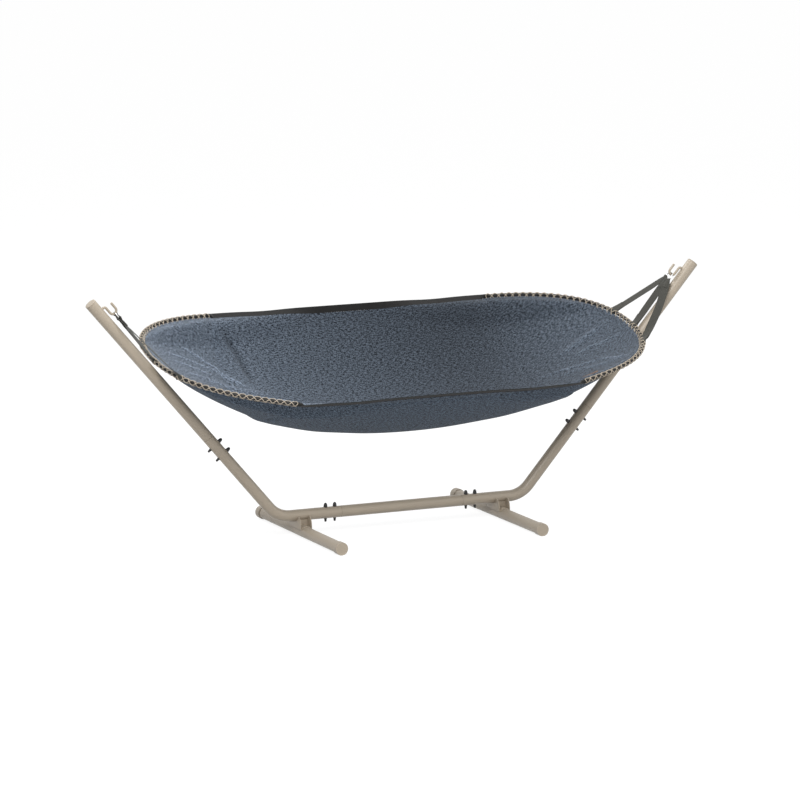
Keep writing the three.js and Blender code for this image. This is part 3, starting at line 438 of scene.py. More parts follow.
class Skin:
    """Points, faces and map coordinates in metres of one piece."""

    def __init__(self):
        self.points = []
        self.faces = []
        self.maps = []
        self.count = 0

    def add(self, grid, closed_along=False, closed_round=False, maps=None):
        rows, columns = grid.shape[:2]
        if maps is None:
            maps = np.zeros((rows + 1, columns + 1, 2))
        last_row = rows if closed_along else rows - 1
        last_column = columns if closed_round else columns - 1
        table = np.meshgrid(np.arange(last_row), np.arange(last_column), indexing="ij")
        i, k = (index.ravel() for index in table)
        corners = ((i, k), (i, k + 1), (i + 1, k + 1), (i + 1, k))
        self.faces.append(np.stack([(a % rows) * columns + b % columns + self.count for a, b in corners], 1))
        self.maps.append(np.stack([maps[a, b] for a, b in corners], 1))
        self.points.append(grid.reshape(-1, 3))
        self.count += rows * columns

    def turned(self, profile, matrix, sides=SIDES):
        """A profile of (radius, height) turned about Z, then put in place."""
        profile = np.array(profile)
        angles = turns(sides)
        radius = profile[:, :1]
        height = np.broadcast_to(profile[:, 1:], (len(profile), sides))
        grid = np.stack([radius * np.cos(angles), radius * np.sin(angles), height], axis=-1)
        self.add(moved(matrix, grid), profile[0][0] > 0, True)

    def tube(self, path, first, outer, inner, ease, matrix, sides=SIDES):
        """A tube along a path with eased ends, or a solid rod where inner is 0."""
        ahead, across, up = frames(path, first)
        angles = turns(sides)
        ring = lambda i, shift, size: path[i] + ahead[i] * shift + circled(across[i], up[i], angles) * size
        quarter = np.linspace(0, math.pi / 2, 5 if inner else 6)
        edge = [(ease * (1 - math.cos(a)), outer - ease + ease * math.sin(a)) for a in quarter]
        middle = range(1, len(path) - 1)
        grid = [ring(0, 0, inner)] + [ring(0, shift, size) for shift, size in edge]
        grid += [ring(i, 0, outer) for i in middle]
        grid += [ring(-1, -shift, size) for shift, size in reversed(edge)] + [ring(-1, 0, inner)]
        if inner:
            grid += [ring(i, 0, inner) for i in reversed(middle)]
        self.add(moved(matrix, np.array(grid)), inner > 0, True)

    def strip(self, path, across, width, thickness, matrix, cup, columns=8):
        """A flat webbing strip along a path; cup bends its two edges over, as a share of its width."""
        ahead = unit(np.gradient(path, axis=0))
        flat = square_to(ahead, across)
        out = np.cross(ahead, flat)
        spread = np.linspace(-0.5, 0.5, columns + 1)
        width = np.broadcast_to(width, len(path))[:, None]
        cup = np.broadcast_to(cup, len(path))[:, None]
        side = (spread * width)[..., None] * flat[:, None]
        lift = (cup * width * (4 * spread ** 2 - 1 / 3))[..., None] * out[:, None]
        middle = path[:, None] + side - lift
        half = out[:, None] * thickness / 2
        grid = np.concatenate([middle + half, (middle - half)[:, ::-1]], axis=1)
        maps = np.zeros((len(path), 2 * columns + 3, 2))
        maps[..., 0] = distances(path)[:, None]
        maps[..., 1] = np.concatenate([spread, spread[::-1], spread[:1]]) * STRAP_WIDTH
        self.add(moved(matrix, grid), False, True, maps)
        for end in (0, -1):
            self.add(moved(matrix, np.stack([(middle + half)[end], (middle - half)[end]])))

    def stitches(self, path, outward, matrix, pitch=STITCH_PITCH, length=STITCH):
        """A row of short threads lying on a surface along a path."""
        along = distances(path)
        count = max(1, int(along[-1] // pitch))
        starts = (np.arange(count) + 0.5) * along[-1] / count
        ahead = looked_up(starts + length / 2, along, path) - looked_up(starts - length / 2, along, path)
        ahead = unit(ahead)
        out = unit(looked_up(starts, along, outward))
        circle = circled(np.cross(ahead, out)[:, None], out[:, None], turns(6))
        # Along the stitch, radius and lift, the last two in radii of the thread
        stations = ((-0.5, 0, -0.6), (-0.42, 0.8, 0.1), (0, 1, 0.55), (0.42, 0.8, 0.1), (0.5, 0, -0.6))
        for m, o, a, ring in zip(looked_up(starts, along, path), out, ahead, circle):
            rings = [m + a * length * s + (o * lift + ring * size) * THREAD_R for s, size, lift in stations]
            self.add(moved(matrix, np.array(rings)), False, True)


def make(name, skin, material, body, nodes=(), sharp=38, values=()):
    """One piece of the scene from its skin; values are pairs of a name and a number for each point."""
    mesh = bpy.data.meshes.new(name)
    mesh.from_pydata(np.concatenate(skin.points).tolist(), [], np.concatenate(skin.faces).tolist())
    layer = mesh.uv_layers.new(name="metres")
    layer.data.foreach_set("uv", np.concatenate(skin.maps).reshape(-1).astype(np.float32))
    for title, numbers in values:
        mesh.attributes.new(title, "FLOAT", "POINT").data.foreach_set("value", numbers.astype(np.float32))
    work = bmesh.new()
    work.from_mesh(mesh)
    bmesh.ops.remove_doubles(work, verts=work.verts, dist=1e-6)
    bmesh.ops.recalc_face_normals(work, faces=work.faces)
    work.to_mesh(mesh)
    work.free()
    return finished(name, mesh, material, body, nodes, sharp)


def finished(name, mesh, material, body, nodes=(), sharp=38):
    """One piece from its mesh, on its body and in its slot."""
    mesh.shade_smooth()
    mesh.set_sharp_from_angle(angle=math.radians(sharp))
    mesh.materials.append(material)
    piece = bpy.data.objects.new(name, mesh)
    bpy.context.scene.collection.objects.link(piece)
    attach(piece, body)
    if nodes:
        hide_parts(*nodes)
    return piece


# Materials

def colour(red, green, blue):
    """Linear colour of an sRGB value from 0 to 255."""
    parts = [channel / 255 for channel in (red, green, blue)]
    return (*(part / 12.92 if part < 0.04 else ((part + 0.055) / 1.055) ** 2.4 for part in parts), 1.0)


def grey(level):
    return (level, level, level, 1)


class Graph:
    """Shader nodes put together step by step."""

    def __init__(self, tree):
        self.nodes = tree.nodes
        self.links = tree.links

    def node(self, kind, inputs, output=0, **settings):
        node = self.nodes.new("ShaderNode" + kind)
        for name, value in settings.items():
            setattr(node, name, value)
        for socket, value in inputs.items():
            if isinstance(value, bpy.types.NodeSocket):
                self.links.new(value, node.inputs[socket])
            else:
                node.inputs[socket].default_value = value
        return node.outputs[output]

    def math(self, operation, first, second=0.0):
        return self.node("Math", {0: first, 1: second}, operation=operation)

    def times(self, first, second):
        return self.math("MULTIPLY", first, second)

    def plus(self, first, second):
        return self.math("ADD", first, second)

    def by_ray(self, lighting, seen, output):
        """Gives one shader to the rays that light the scene and another to those that see it."""
        path = self.nodes.new("ShaderNodeLightPath").outputs
        behind = self.math("MAXIMUM", path["Is Glossy Ray"], path["Is Transmission Ray"])
        is_seen = self.math("MAXIMUM", path["Is Camera Ray"], behind)
        mixed = self.node("MixShader", {0: is_seen, 1: lighting, 2: seen})
        self.links.new(mixed, output.inputs["Surface"])


class Finish(Graph):
    """The nodes of one material."""

    def __init__(self, name, **uniform):
        self.material = bpy.data.materials.new(name)
        self.material.use_nodes = True
        super().__init__(self.material.node_tree)
        self.shader = self.nodes["Principled BSDF"]
        for socket, value in uniform.items():
            self.shader.inputs[socket.replace("_", " ")].default_value = value

    def place(self, kind="Object"):
        return self.nodes.new("ShaderNodeTexCoord").outputs[kind]

    def scaled(self, vector, scale):
        return self.node("Mapping", {"Vector": vector, "Scale": scale})

    def noise(self, vector, scale, detail=2.0, rough=0.5):
        return self.node("TexNoise", {"Vector": vector, "Scale": scale, "Detail": detail, "Roughness": rough})

    def span(self, value, low, high, new_low=0.0, new_high=1.0):
        inputs = {"Value": value, "From Min": low, "From Max": high, "To Min": new_low, "To Max": new_high}
        return self.node("MapRange", inputs)

    def mix(self, factor, first, second, blend="MIX"):
        return self.node("Mix", {0: factor, 6: first, 7: second}, 2, data_type="RGBA", blend_type=blend)

    def wave(self, value, pitch):
        """A sine along a coordinate in metres, from -1 to 1."""
        return self.math("SINE", self.times(value, 2 * math.pi / pitch))

    def parts(self, vector):
        node = self.nodes.new("ShaderNodeSeparateXYZ")
        self.links.new(vector, node.inputs[0])
        return node.outputs[0], node.outputs[1], node.outputs[2]

    def number(self, name):
        """The number that each point of the mesh carries under a name."""
        return self.node("Attribute", {}, 2, attribute_name=name)

    def into(self, **sockets):
        for socket, value in sockets.items():
            self.links.new(value, self.shader.inputs[socket.replace("_", " ")])
        return self.material

    def coated(self, tone, rough, height, strength, distance):
        """The material with its tone, its roughness and its bumps."""
        bumps = self.node("Bump", {"Height": height, "Strength": strength, "Distance": distance})
        return self.into(Base_Color=tone, Roughness=rough, Normal=bumps)


def powder_coat():
    """Satin taupe powder coat: fine orange peel, faint speckle and slow drift in tone."""
    finish = Finish("taupe_powder_coat", Metallic=0.0, Specular_IOR_Level=0.5)
    where = finish.place()
    drift = finish.span(finish.noise(where, 2.2), 0.35, 0.65)
    speckle = finish.span(finish.noise(where, 1500, 1.0), 0.3, 0.7)
    tone = finish.mix(drift, colour(181, 168, 150), colour(174, 162, 145))
    tone = finish.mix(finish.times(speckle, 0.22), tone, colour(149, 139, 123))
    gloss = finish.span(finish.noise(where, 60, 3.0), 0.3, 0.7, 0.34, 0.44)
    return finish.coated(tone, gloss, finish.noise(where, 420), 0.12, 0.25 * MM)


def moulded_plastic():
    """Black moulded plastic of the caps, faintly textured and a little dusty."""
    finish = Finish("black_plastic", Specular_IOR_Level=0.5)
    where = finish.place()
    dust = finish.span(finish.noise(where, 160, 3.0), 0.45, 0.75, 0.0, 0.5)
    tone = finish.mix(dust, colour(14, 13, 13), colour(27, 25, 24))
    gloss = finish.span(finish.noise(where, 240), 0.3, 0.7, 0.32, 0.48)
    return finish.coated(tone, gloss, finish.noise(where, 1400), 0.15, 0.2 * MM)


def plated_steel(name, low, high):
    """Bright plated or polished steel with fine drawn lines."""
    finish = Finish(name, Metallic=1.0)
    where = finish.place()
    lines = finish.noise(finish.scaled(where, (900, 900, 60)), 1.0, 3.0)
    clouds = finish.span(finish.noise(where, 45, 3.0), 0.35, 0.65)
    tone = finish.mix(clouds, colour(214, 214, 212), colour(188, 189, 190))
    gloss = finish.span(lines, 0.3, 0.7, low, high)
    return finish.coated(tone, gloss, lines, 0.08, 0.1 * MM)


def rim_paint():
    """Black semi-gloss paint of the rim tubes."""
    finish = Finish("black_rim_paint", Specular_IOR_Level=0.4)
    where = finish.place()
    dust = finish.span(finish.noise(where, 90, 3.0), 0.4, 0.7)
    tone = finish.mix(dust, colour(12, 11, 10), colour(22, 18, 16))
    gloss = finish.span(finish.noise(where, 300), 0.3, 0.7, 0.42, 0.58)
    return finish.coated(tone, gloss, finish.noise(where, 600), 0.1, 0.2 * MM)


def woven_webbing(name, dark, light):
    """Ribbed polyester webbing: chevron yarns across, with a slightly worn, dusty face."""
    finish = Finish(name, Specular_IOR_Level=0.25, Sheen_Weight=0.12, Sheen_Roughness=0.5)
    where = finish.place("UV")
    along, across, _ = finish.parts(where)
    saw = finish.math("FRACT", finish.times(across, 1 / (9.5 * MM)))
    chevron = finish.math("ABSOLUTE", finish.math("SUBTRACT", saw, 0.5))
    rib = finish.wave(finish.plus(along, finish.times(chevron, 6 * MM)), 2.1 * MM)
    yarn = finish.wave(across, 1.6 * MM)
    weave = finish.plus(finish.times(rib, 0.6), finish.times(yarn, 0.4))
    wear = finish.span(finish.noise(finish.scaled(where, (60, 320, 1)), 1.0, 3.0), 0.35, 0.7)
    face = finish.span(weave, -1, 1)
    tone = finish.mix(finish.plus(finish.times(face, 0.55), finish.times(wear, 0.35)), dark, light)
    return finish.coated(tone, finish.span(wear, 0, 1, 0.72, 0.9), weave, 0.5, 0.35 * MM)


def braided_cord():
    """Beige cord: two sets of strands twisted against each other, with fibre noise."""
    finish = Finish("beige_cord", Specular_IOR_Level=0.2, Sheen_Weight=0.15, Sheen_Roughness=0.6)
    where = finish.place("UV")
    along, around, _ = finish.parts(where)
    twist = finish.times(around, 3.0)
    steps = finish.times(along, 1 / (9 * MM))
    first = finish.wave(finish.plus(steps, twist), 1.0)
    second = finish.wave(finish.math("SUBTRACT", steps, twist), 1.0)
    strands = finish.math("MAXIMUM", first, second)
    fibre = finish.span(finish.noise(finish.scaled(where, (500, 30, 1)), 1.0, 3.0), 0.3, 0.7)
    tone = finish.mix(finish.span(strands, -0.4, 1.0), colour(146, 133, 116), colour(224, 211, 192))
    tone = finish.mix(finish.times(fibre, 0.35), tone, colour(184, 169, 146))
    return finish.coated(tone, finish.span(fibre, 0, 1, 0.78, 0.92), strands, 0.5, 0.5 * MM)


def woven_fabric():
    """Coarse blue-grey melange: slubbed yarns both ways over a plain weave.

    Its upper face is paler towards the tips, carries a painted highlight along the fold lines with painted
    shade in one trough, and has painted shade to the right.
    """
    finish = Finish("blue_grey_fabric", Specular_IOR_Level=0.18, Sheen_Weight=0.1, Sheen_Roughness=0.55)
    where = finish.place("UV")
    along, across, _ = finish.parts(where)
    weft, warp = (finish.span(finish.noise(finish.scaled(where, scale), 1.0, 2.0, 0.6), 0.38, 0.62)
                  for scale in ((60, 250, 1), (250, 85, 1)))
    flecks = finish.span(finish.noise(where, 260, 2.0, 0.6), 0.4, 0.6)
    drift = finish.span(finish.noise(where, 9, 2.0), 0.3, 0.7)
    yarns = finish.plus(finish.times(weft, 0.42), finish.times(warp, 0.3))
    yarns = finish.plus(yarns, finish.times(flecks, 0.28))
    twill = finish.wave(finish.plus(along, across), 9 * MM)
    yarns = finish.plus(yarns, finish.times(twill, 0.03))
    tone = finish.mix(finish.span(yarns, 0.3, 0.72), colour(8, 13, 20), colour(108, 119, 133))
    tone = finish.mix(finish.times(drift, 0.16), tone, colour(62, 70, 81))
    x, _, _ = finish.parts(finish.place())
    # Paler towards the tips
    gain = finish.span(finish.math("ABSOLUTE", x), TIP_GAIN_FROM, TIP_GAIN_TO, 1.0, 1 + TIP_GAIN)
    # Painted highlight along the fold lines and painted shade in one trough, from the numbers the mesh
    # carries there
    gain = finish.times(gain, finish.plus(1.0, finish.times(finish.number("fold_painted_light"), FOLD_PAINTED_LIGHT)))
    # Painted shade: the upper face darker to the right, less so at the right tip
    side = finish.times(finish.span(x, *PAINTED_SHADE_DROP), finish.span(x, *PAINTED_SHADE_RISE))
    upper = finish.mix(1.0, tone, finish.times(gain, side), "MULTIPLY")
    lower = finish.mix(1.0, tone, UNDERSIDE_TINT, "MULTIPLY")
    tone = finish.mix(finish.number("upper_face"), lower, upper)
    over = finish.times(finish.wave(along, 2.8 * MM), finish.wave(across, 2.8 * MM))
    height = finish.plus(finish.times(over, 0.5), yarns)
    return finish.coated(tone, finish.span(yarns, 0, 1, 0.96, 0.82), height, 0.55, 0.7 * MM)


def tanned_leather():
    """Plain brown leather with a pebbled grain, darker between its pebbles."""
    finish = Finish("brown_leather", Specular_IOR_Level=0.4)
    where = finish.place()
    cells = finish.node("TexVoronoi", {"Vector": where, "Scale": 900}, feature="DISTANCE_TO_EDGE")
    grain = finish.span(cells, 0, 0.25)
    drift = finish.span(finish.noise(where, 60, 3.0), 0.3, 0.7)
    tone = finish.mix(drift, colour(108, 76, 56), colour(84, 58, 43))
    tone = finish.mix(finish.span(grain, 0, 1, 0.45, 0), tone, colour(70, 42, 27))
    return finish.coated(tone, finish.span(drift, 0, 1, 0.5, 0.66), grain, 0.35, 0.3 * MM)


def sewing_thread(name, first, second):
    """Twisted thread of the seams."""
    finish = Finish(name, Roughness=0.75, Specular_IOR_Level=0.3)
    fibre = finish.span(finish.noise(finish.place(), 1800, 2.0), 0.35, 0.65)
    return finish.into(Base_Color=finish.mix(fibre, first, second))


TAUPE = powder_coat()
PLASTIC = moulded_plastic()
ZINC = plated_steel("zinc_plated_steel", 0.28, 0.42)
BRIGHT = plated_steel("polished_steel", 0.12, 0.24)
RIM_BLACK = rim_paint()
BAND_WEBBING = woven_webbing("black_webbing", colour(13, 13, 13), colour(33, 32, 31))
STRAP_WEBBING = woven_webbing("grey_webbing", colour(52, 52, 48), colour(88, 87, 81))
CORD = braided_cord()
CLOTH = woven_fabric()
LEATHER = tanned_leather()
BLUE_THREAD = sewing_thread("blue_grey_thread", colour(96, 106, 122), colour(70, 78, 92))
DARK_THREAD = sewing_thread("dark_thread", colour(62, 61, 58), colour(40, 39, 37))
TAN_THREAD = sewing_thread("tan_thread", colour(198, 176, 140), colour(160, 136, 100))


# Stand

def turned_piece(name, profile, matrix, node):
    """A piece of the stand in its powder coat, turned from a profile of (radius, height)."""
    skin = Skin()
    skin.turned(profile, matrix)
    make(name, skin, TAUPE, "stand", [node])


def floor_tube():
    """The centre tube, with the necks on which the bent tubes slide."""
    bore = SPIGOT_R - TUBE_WALL
    end = CENTRE_HALF + CENTRE_SPIGOT
    profile = eased([
        (bore, -end), (SPIGOT_R, -end), (SPIGOT_R, -CENTRE_HALF), (TUBE_R, -CENTRE_HALF),
        (TUBE_R, CENTRE_HALF), (SPIGOT_R, CENTRE_HALF), (SPIGOT_R, end), (bore, end),
    ], TUBE_END_EASE)
    turned_piece("floor_tube_centre", profile, STAND @ ALONG_X, "centre_tube")


def bent_tube(ending, side):
    """The lower tube, bent up from the floor run to the pole."""
    joint = np.array([BEND_CORNER_X, 0, 0]) + UP_POLE * (POLE_LENGTH - POLE_JOINT_DOWN - SEAM)
    corners = [np.array([CENTRE_HALF + SEAM, 0, 0]), np.array([BEND_CORNER_X, 0, 0]), joint]
    path = divided(rounded_route(corners, [BEND_R], 36), LONGEST_LEG)
    skin = Skin()
    skin.tube(path, (0, 1, 0), TUBE_R, TUBE_R - TUBE_WALL, TUBE_END_EASE, end_matrix(side))
    make(f"bent_tube_{ending}", skin, TAUPE, "stand", [f"lower_tube_{ending}"])


def pole(ending, side):
    """The upper tube, stepped down at its foot, and the cap that closes its top."""
    bore = TUBE_R - TUBE_WALL
    neck = SPIGOT_R - TUBE_WALL
    seam = -POLE_JOINT_DOWN
    end = seam - POLE_SPIGOT
    profile = eased([
        (neck, end), (SPIGOT_R, end), (SPIGOT_R, seam), (TUBE_R, seam), (TUBE_R, 0),
        (bore, 0), (bore, seam + TUBE_WALL), (neck, seam + TUBE_WALL),
    ], TUBE_END_EASE)
    turned_piece(f"pole_tube_{ending}", profile, end_matrix(side) @ ON_POLE, f"upper_tube_{ending}")
    stem = bore - FIT
    top = FIT + POLE_CAP_PLATE
    inner = stem - POLE_CAP_STEM_WALL
    crown = top + POLE_CAP_DOME
    dome = domed(TUBE_R, crown, POLE_CAP_DOME, np.linspace(math.pi / 2 - 1.3, math.pi / 2, 10)[:-1])
    profile = eased([
        (0, FIT), (inner, FIT), (inner, -POLE_CAP_STEM), (stem, -POLE_CAP_STEM),
        (stem, FIT), (TUBE_R, FIT), (TUBE_R, top), *dome, (0, crown),
    ], POLE_CAP_EASE, 3)
    turned_piece(f"pole_end_cap_{ending}", profile, end_matrix(side) @ ON_POLE, f"pole_cap_{ending}")


def hook(ending, side):
    """A round rod bent out from the pole, down, and up again round the ring."""
    leg = TUBE_R + HOOK_STAND_OFF
    far = leg + 2 * HOOK_U_R
    tip = HOOK_U_DOWN - HOOK_U_R - HOOK_TIP_LEG
    places = ((TUBE_R / 2, HOOK_ROOT_DOWN), (leg, HOOK_ROOT_DOWN), (leg, HOOK_U_DOWN),
              (far, HOOK_U_DOWN), (far, tip))
    corners = [POLE_TOP + INWARD * inward - UP_POLE * down for inward, down in places]
    path = spaced(rounded_route(corners, [HOOK_BEND_R, HOOK_U_R, HOOK_U_R], 16), 0.01 * MM)
    skin = Skin()
    skin.tube(path, (0, 1, 0), HOOK_ROD_R, 0, HOOK_END_EASE, end_matrix(side), 32)
    make(f"rod_hook_{ending}", skin, TAUPE, "stand", [f"hook_{ending}"])


def seated(profile, matrix, name, node):
    """A cap turned from its profile, its skirt shaped to the tube along X that it sits on."""
    profile = np.array(profile)
    angles = turns(CAP_SIDES)
    radius = profile[:, :1]
    y = radius * np.sin(angles)
    tube_top = np.sqrt(np.maximum(SEAT ** 2 - y ** 2, 0))
    height = np.maximum(np.broadcast_to(profile[:, 1:], y.shape), tube_top)
    skin = Skin()
    skin.add(moved(matrix, np.stack([radius * np.cos(angles), y, height], axis=-1)), False, True)
    make(name, skin, PLASTIC, "stand", [node])


def joint_caps(ending, side):
    """The large black cap on each bolt's head and the small one on its nut."""
    foot = SEAT - CAP_SKIRT
    cavity = BOLT_HEAD_R + FIT
    roof = SEAT + BOLT_HEAD_DEPTH + FIT
    top = TUBE_R + HEAD_CAP_HEIGHT
    bell = domed(HEAD_CAP_NECK_R, top, CAP_DOME, np.linspace(0, 1.45, 9))
    large = eased([
        (0, roof), (cavity, roof), (cavity, foot), (HEAD_CAP_R, foot), (HEAD_CAP_R, SEAT + HEAD_CAP_FLARE[0]),
        (HEAD_CAP_NECK_R + 0.4 * MM, SEAT + HEAD_CAP_FLARE[1]), *bell, (0, top),
    ], HEAD_CAP_EASE, 3)
    roof = SEAT + CAP_NUT_BORE
    top = TUBE_R + CAP_NUT_HEIGHT
    bore = BOLT_R + 0.4 * MM
    knob = domed(CAP_NUT_KNOB_R, top, CAP_NUT_DOME, np.linspace(0, 1.4, 8))
    small = eased([
        (0, roof), (bore, roof), (bore, foot), (CAP_NUT_R, foot), (CAP_NUT_R, SEAT + CAP_NUT_FLARE[0]),
        (CAP_NUT_KNOB_R, SEAT + CAP_NUT_FLARE[1]), *knob, (0, top),
    ], CAP_NUT_EASE, 3)
    places = {f"centre_{i + 1}": Matrix.Translation((CENTRE_HALF + along, 0, 0))
              for i, along in enumerate(CENTRE_BOLTS)}
    for i, along in enumerate(POLE_BOLTS):
        down = Matrix.Translation((0, 0, -POLE_JOINT_DOWN - along))
        places[f"pole_{i + 1}"] = ON_POLE @ down @ Matrix.Rotation(-math.pi / 2, 4, "Y")
    for where, matrix in places.items():
        matrix = end_matrix(side) @ matrix
        tag = f"{where}_{ending}"
        seated(large, matrix, f"large_cap_{tag}", f"bolt_head_cap_{tag}")
        seated(small, matrix @ Matrix.Rotation(math.pi, 4, "X"), f"small_cap_{tag}", f"cap_nut_{tag}")


def foot(ending, side):
    """The cross tube that stands on the floor, with a cap on each end."""
    place = end_matrix(side) @ Matrix.Translation((FOOT_X, 0, -FOOT_DROP))
    half = FOOT_LENGTH / 2
    end = half - FOOT_CAP_PLATE - FIT
    skin = Skin()
    path = divided(np.array([(0, -end, 0), (0, end, 0)]), LONGEST_LEG)
    skin.tube(path, (1, 0, 0), TUBE_R, TUBE_R - TUBE_WALL, TUBE_END_EASE, place)
    make(f"cross_foot_{ending}", skin, TAUPE, "stand", [f"foot_tube_{ending}"])
    mouth = half - FOOT_CAP_DEPTH
    plate = half - FOOT_CAP_PLATE
    sunk = half - FOOT_CAP_RECESS
    face = FOOT_CAP_R - FOOT_CAP_FACE_INSET
    profile = eased([
        (0, plate), (SEAT, plate), (SEAT, mouth), (FOOT_CAP_R - 0.8 * MM, mouth),
        (FOOT_CAP_R, mouth + 2 * MM), (FOOT_CAP_R, half), (face, half), (face - 0.8 * MM, sunk), (0, sunk),
    ], FOOT_CAP_EDGE, 5)
    for way in (-1, 1):
        where = "back" if way * side > 0 else "front"
        turn = Matrix.Rotation(0 if way > 0 else math.pi, 4, "Z")
        skin = Skin()
        skin.turned(profile, place @ turn @ ALONG_Y)
        for points in skin.points:
            points[:, 2] = np.maximum(points[:, 2], 0)
        tag = f"{where}_{ending}"
        make(f"foot_end_cap_{tag}", skin, TAUPE, "stand", [f"foot_cap_{tag}"])


def bracket_edge():
    """A bracket's curved edge from its top to its foot: how far it stands out, and its height."""
    share = np.linspace(0, 1, 20)[:, None]
    top, bulge, base = (np.array(corner) for corner in (BRACKET_TOP, BRACKET_BULGE, BRACKET_FOOT))
    return bowed(top, bulge, base, share)


def bracket_reach(heights):
    edge = bracket_edge()[::-1]
    return np.interp(heights, edge[:, 1], edge[:, 0])


def arch(radius, across):
    """Height of a shell round the foot tube, measured from the floor tube's axis."""
    return -FOOT_DROP + np.sqrt(radius ** 2 - across ** 2)


def bracket(ending, side):
    """Two upright plates with a saddle over the foot tube and a hollow spacer up to the floor tube."""
    half = BRACKET_ROOM / 2
    place = end_matrix(side) @ Matrix.Translation((FOOT_X, 0, 0))
    edge = bracket_edge()
    reach = math.asin(-BRACKET_TOP[1] / SEAT)
    angles = np.linspace(-reach, reach - math.pi, 28)
    cradle = SEAT * np.stack([np.cos(angles), np.sin(angles)], 1)
    outline = np.concatenate([edge * (-1, 1), edge[::-1], cradle])
    work = bmesh.new()
    for way in (-1, 1):
        near, far = ([work.verts.new(moved(place, np.array([way * out, y, z]))) for y, z in outline]
                     for out in (half, half + BRACKET_PLATE))
        faces = [work.faces.new(near), work.faces.new(far)]
        for i in range(len(outline)):
            k = (i + 1) % len(outline)
            work.faces.new((near[i], near[k], far[k], far[i]))
        rims = [edge for face in faces for edge in face.edges]
        bmesh.ops.recalc_face_normals(work, faces=work.faces)
        bmesh.ops.bevel(work, geom=rims, offset=BRACKET_EASE, segments=3, affect="EDGES", profile=0.5)
    x = np.linspace(-half, half, 25)
    over, under = (np.maximum(arch(radius, x), BRACKET_FOOT[1]) for radius in (SEAT + SADDLE_PLATE, SEAT))
    loop = np.stack([np.concatenate([x, x[::-1]]), np.concatenate([over, under[::-1]])], 1)
    reach = bracket_reach(loop[:, 1])
    grid = np.stack([np.stack([loop[:, 0], way * reach, loop[:, 1]], 1) for way in np.linspace(-1, 1, 9)])
    skin = Skin()
    skin.add(moved(place, grid), False, True)
    for end in (0, -1):
        skin.add(moved(place, np.stack([grid[end, :len(x)], grid[end, len(x):][::-1]])))
    turn = np.linspace(-1, 1, 17) * math.asin(SPACER_REACH / SEAT)
    seat = np.stack([SEAT * np.sin(turn), -SEAT * np.cos(turn)], 1)
    pocket = SPACER_REACH - SADDLE_PLATE
    roof = -SEAT - SADDLE_PLATE
    rows = []
    for across in np.linspace(-half, half, 13):
        base = arch(SEAT + SADDLE_PLATE / 2, across)
        side_view = [(-SPACER_REACH, base), *seat, (SPACER_REACH, base), (pocket, base), (pocket, roof),
                     (-pocket, roof), (-pocket, base)]
        rows.append([(across, y, z) for y, z in side_view])
    skin.add(moved(place, np.array(rows)), False, True)
    corners = [work.verts.new(point) for point in np.concatenate(skin.points)]
    for face in np.concatenate(skin.faces):
        work.faces.new([corners[i] for i in face])
    bmesh.ops.recalc_face_normals(work, faces=work.faces)
    work.verts.index_update()
    points = [corner.co[:] for corner in work.verts]
    faces = []
    for face in work.faces:
        numbers = [corner.index for corner in face.verts]
        first = numbers.index(min(numbers))
        faces.append(numbers[first:] + numbers[:first])
    work.free()
    mesh = bpy.data.meshes.new(f"foot_clamp_{ending}")
    # The bevel gives its faces in an order of its own in each run, so they are sorted
    mesh.from_pydata(points, [], sorted(faces))
    finished(mesh.name, mesh, TAUPE, "stand", [f"foot_bracket_{ending}"])


def foot_bolt(ending, side):
    """The hexagon bolt up through the saddle, with its washer face."""
    seat = -SEAT - SADDLE_PLATE - FIT
    under = seat - WASHER_FACE
    bottom = seat - BOLT_HEAD_DEPTH
    tip = -TUBE_R + FOOT_BOLT_REACH
    washer = BOLT_HEAD_R - 0.3 * MM
    place = end_matrix(side) @ Matrix.Translation((FOOT_X, 0, 0))
    skin = Skin()
    head = [(0, bottom), (BOLT_HEAD_R - 0.7 * MM, bottom), (BOLT_HEAD_R, bottom + 0.6 * MM),
            (BOLT_HEAD_R, under), (0, under)]
    skin.turned(head, place, 6)
    shank = [(0, under), (washer, under), (washer, seat), (BOLT_R, seat), (BOLT_R, tip), (0, tip)]
    skin.turned(shank, place, 32)
    make(f"foot_hex_bolt_{ending}", skin, ZINC, "stand", [f"foot_bolt_{ending}"], 25)


# Rim of the bed

RIM_SHOULDER = (
    RIM_END_X + RIM_END_FULLNESS * math.cos(RIM_END_ANGLE),
    RIM_HALF_WIDTH - RIM_END_FULLNESS * math.sin(RIM_END_ANGLE),
    RIM_SHOULDER_RISE * RIM_TIP_RISE - RIM_DROP,
)
RIM_CORNERS = np.array([
    (RIM_TIP_X, 0, RIM_TIP_RISE - RIM_DROP),
    (RIM_TIP_X, RIM_TIP_FULLNESS, RIM_TIP_RISE - RIM_DROP),
    RIM_SHOULDER,
    (RIM_END_X, RIM_HALF_WIDTH, -RIM_DROP),
])


def quarter_at(t):
    """Place on a quarter of the rim, from its tip (0) to its end (1)."""
    t = np.asarray(t, float)[..., None]
    weights = ((1 - t) ** 3, 3 * t * (1 - t) ** 2, 3 * t * t * (1 - t), t ** 3)
    return sum(weight * corner for weight, corner in zip(weights, RIM_CORNERS))


_T = np.linspace(0, 1, 2001)
_ALONG = distances(quarter_at(_T))
QUARTER_LENGTH = _ALONG[-1]


def rim(shares, side):
    """Rim points with the ways ahead, inward and up, at shares from its front end (-1) to its back (1)."""
    shares = np.asarray(shares, float)
    t = np.interp(np.abs(shares), _ALONG / QUARTER_LENGTH, _T)
    at = quarter_at(t)
    ahead = unit(quarter_at(np.minimum(t + 1e-3, 1)) - quarter_at(np.maximum(t - 1e-3, 0)))
    front = np.where(shares < 0, -1, 1)
    at = at * np.stack([np.full(shares.shape, side), front, np.ones(shares.shape)], axis=-1)
    ahead = ahead * np.stack([front * side, np.ones(shares.shape), front], axis=-1)
    inward = unit(np.stack([-ahead[..., 1] * side, ahead[..., 0] * side, np.zeros(shares.shape)], axis=-1))
    up = unit(np.cross(inward, ahead) * -side)
    return at, ahead, inward, up


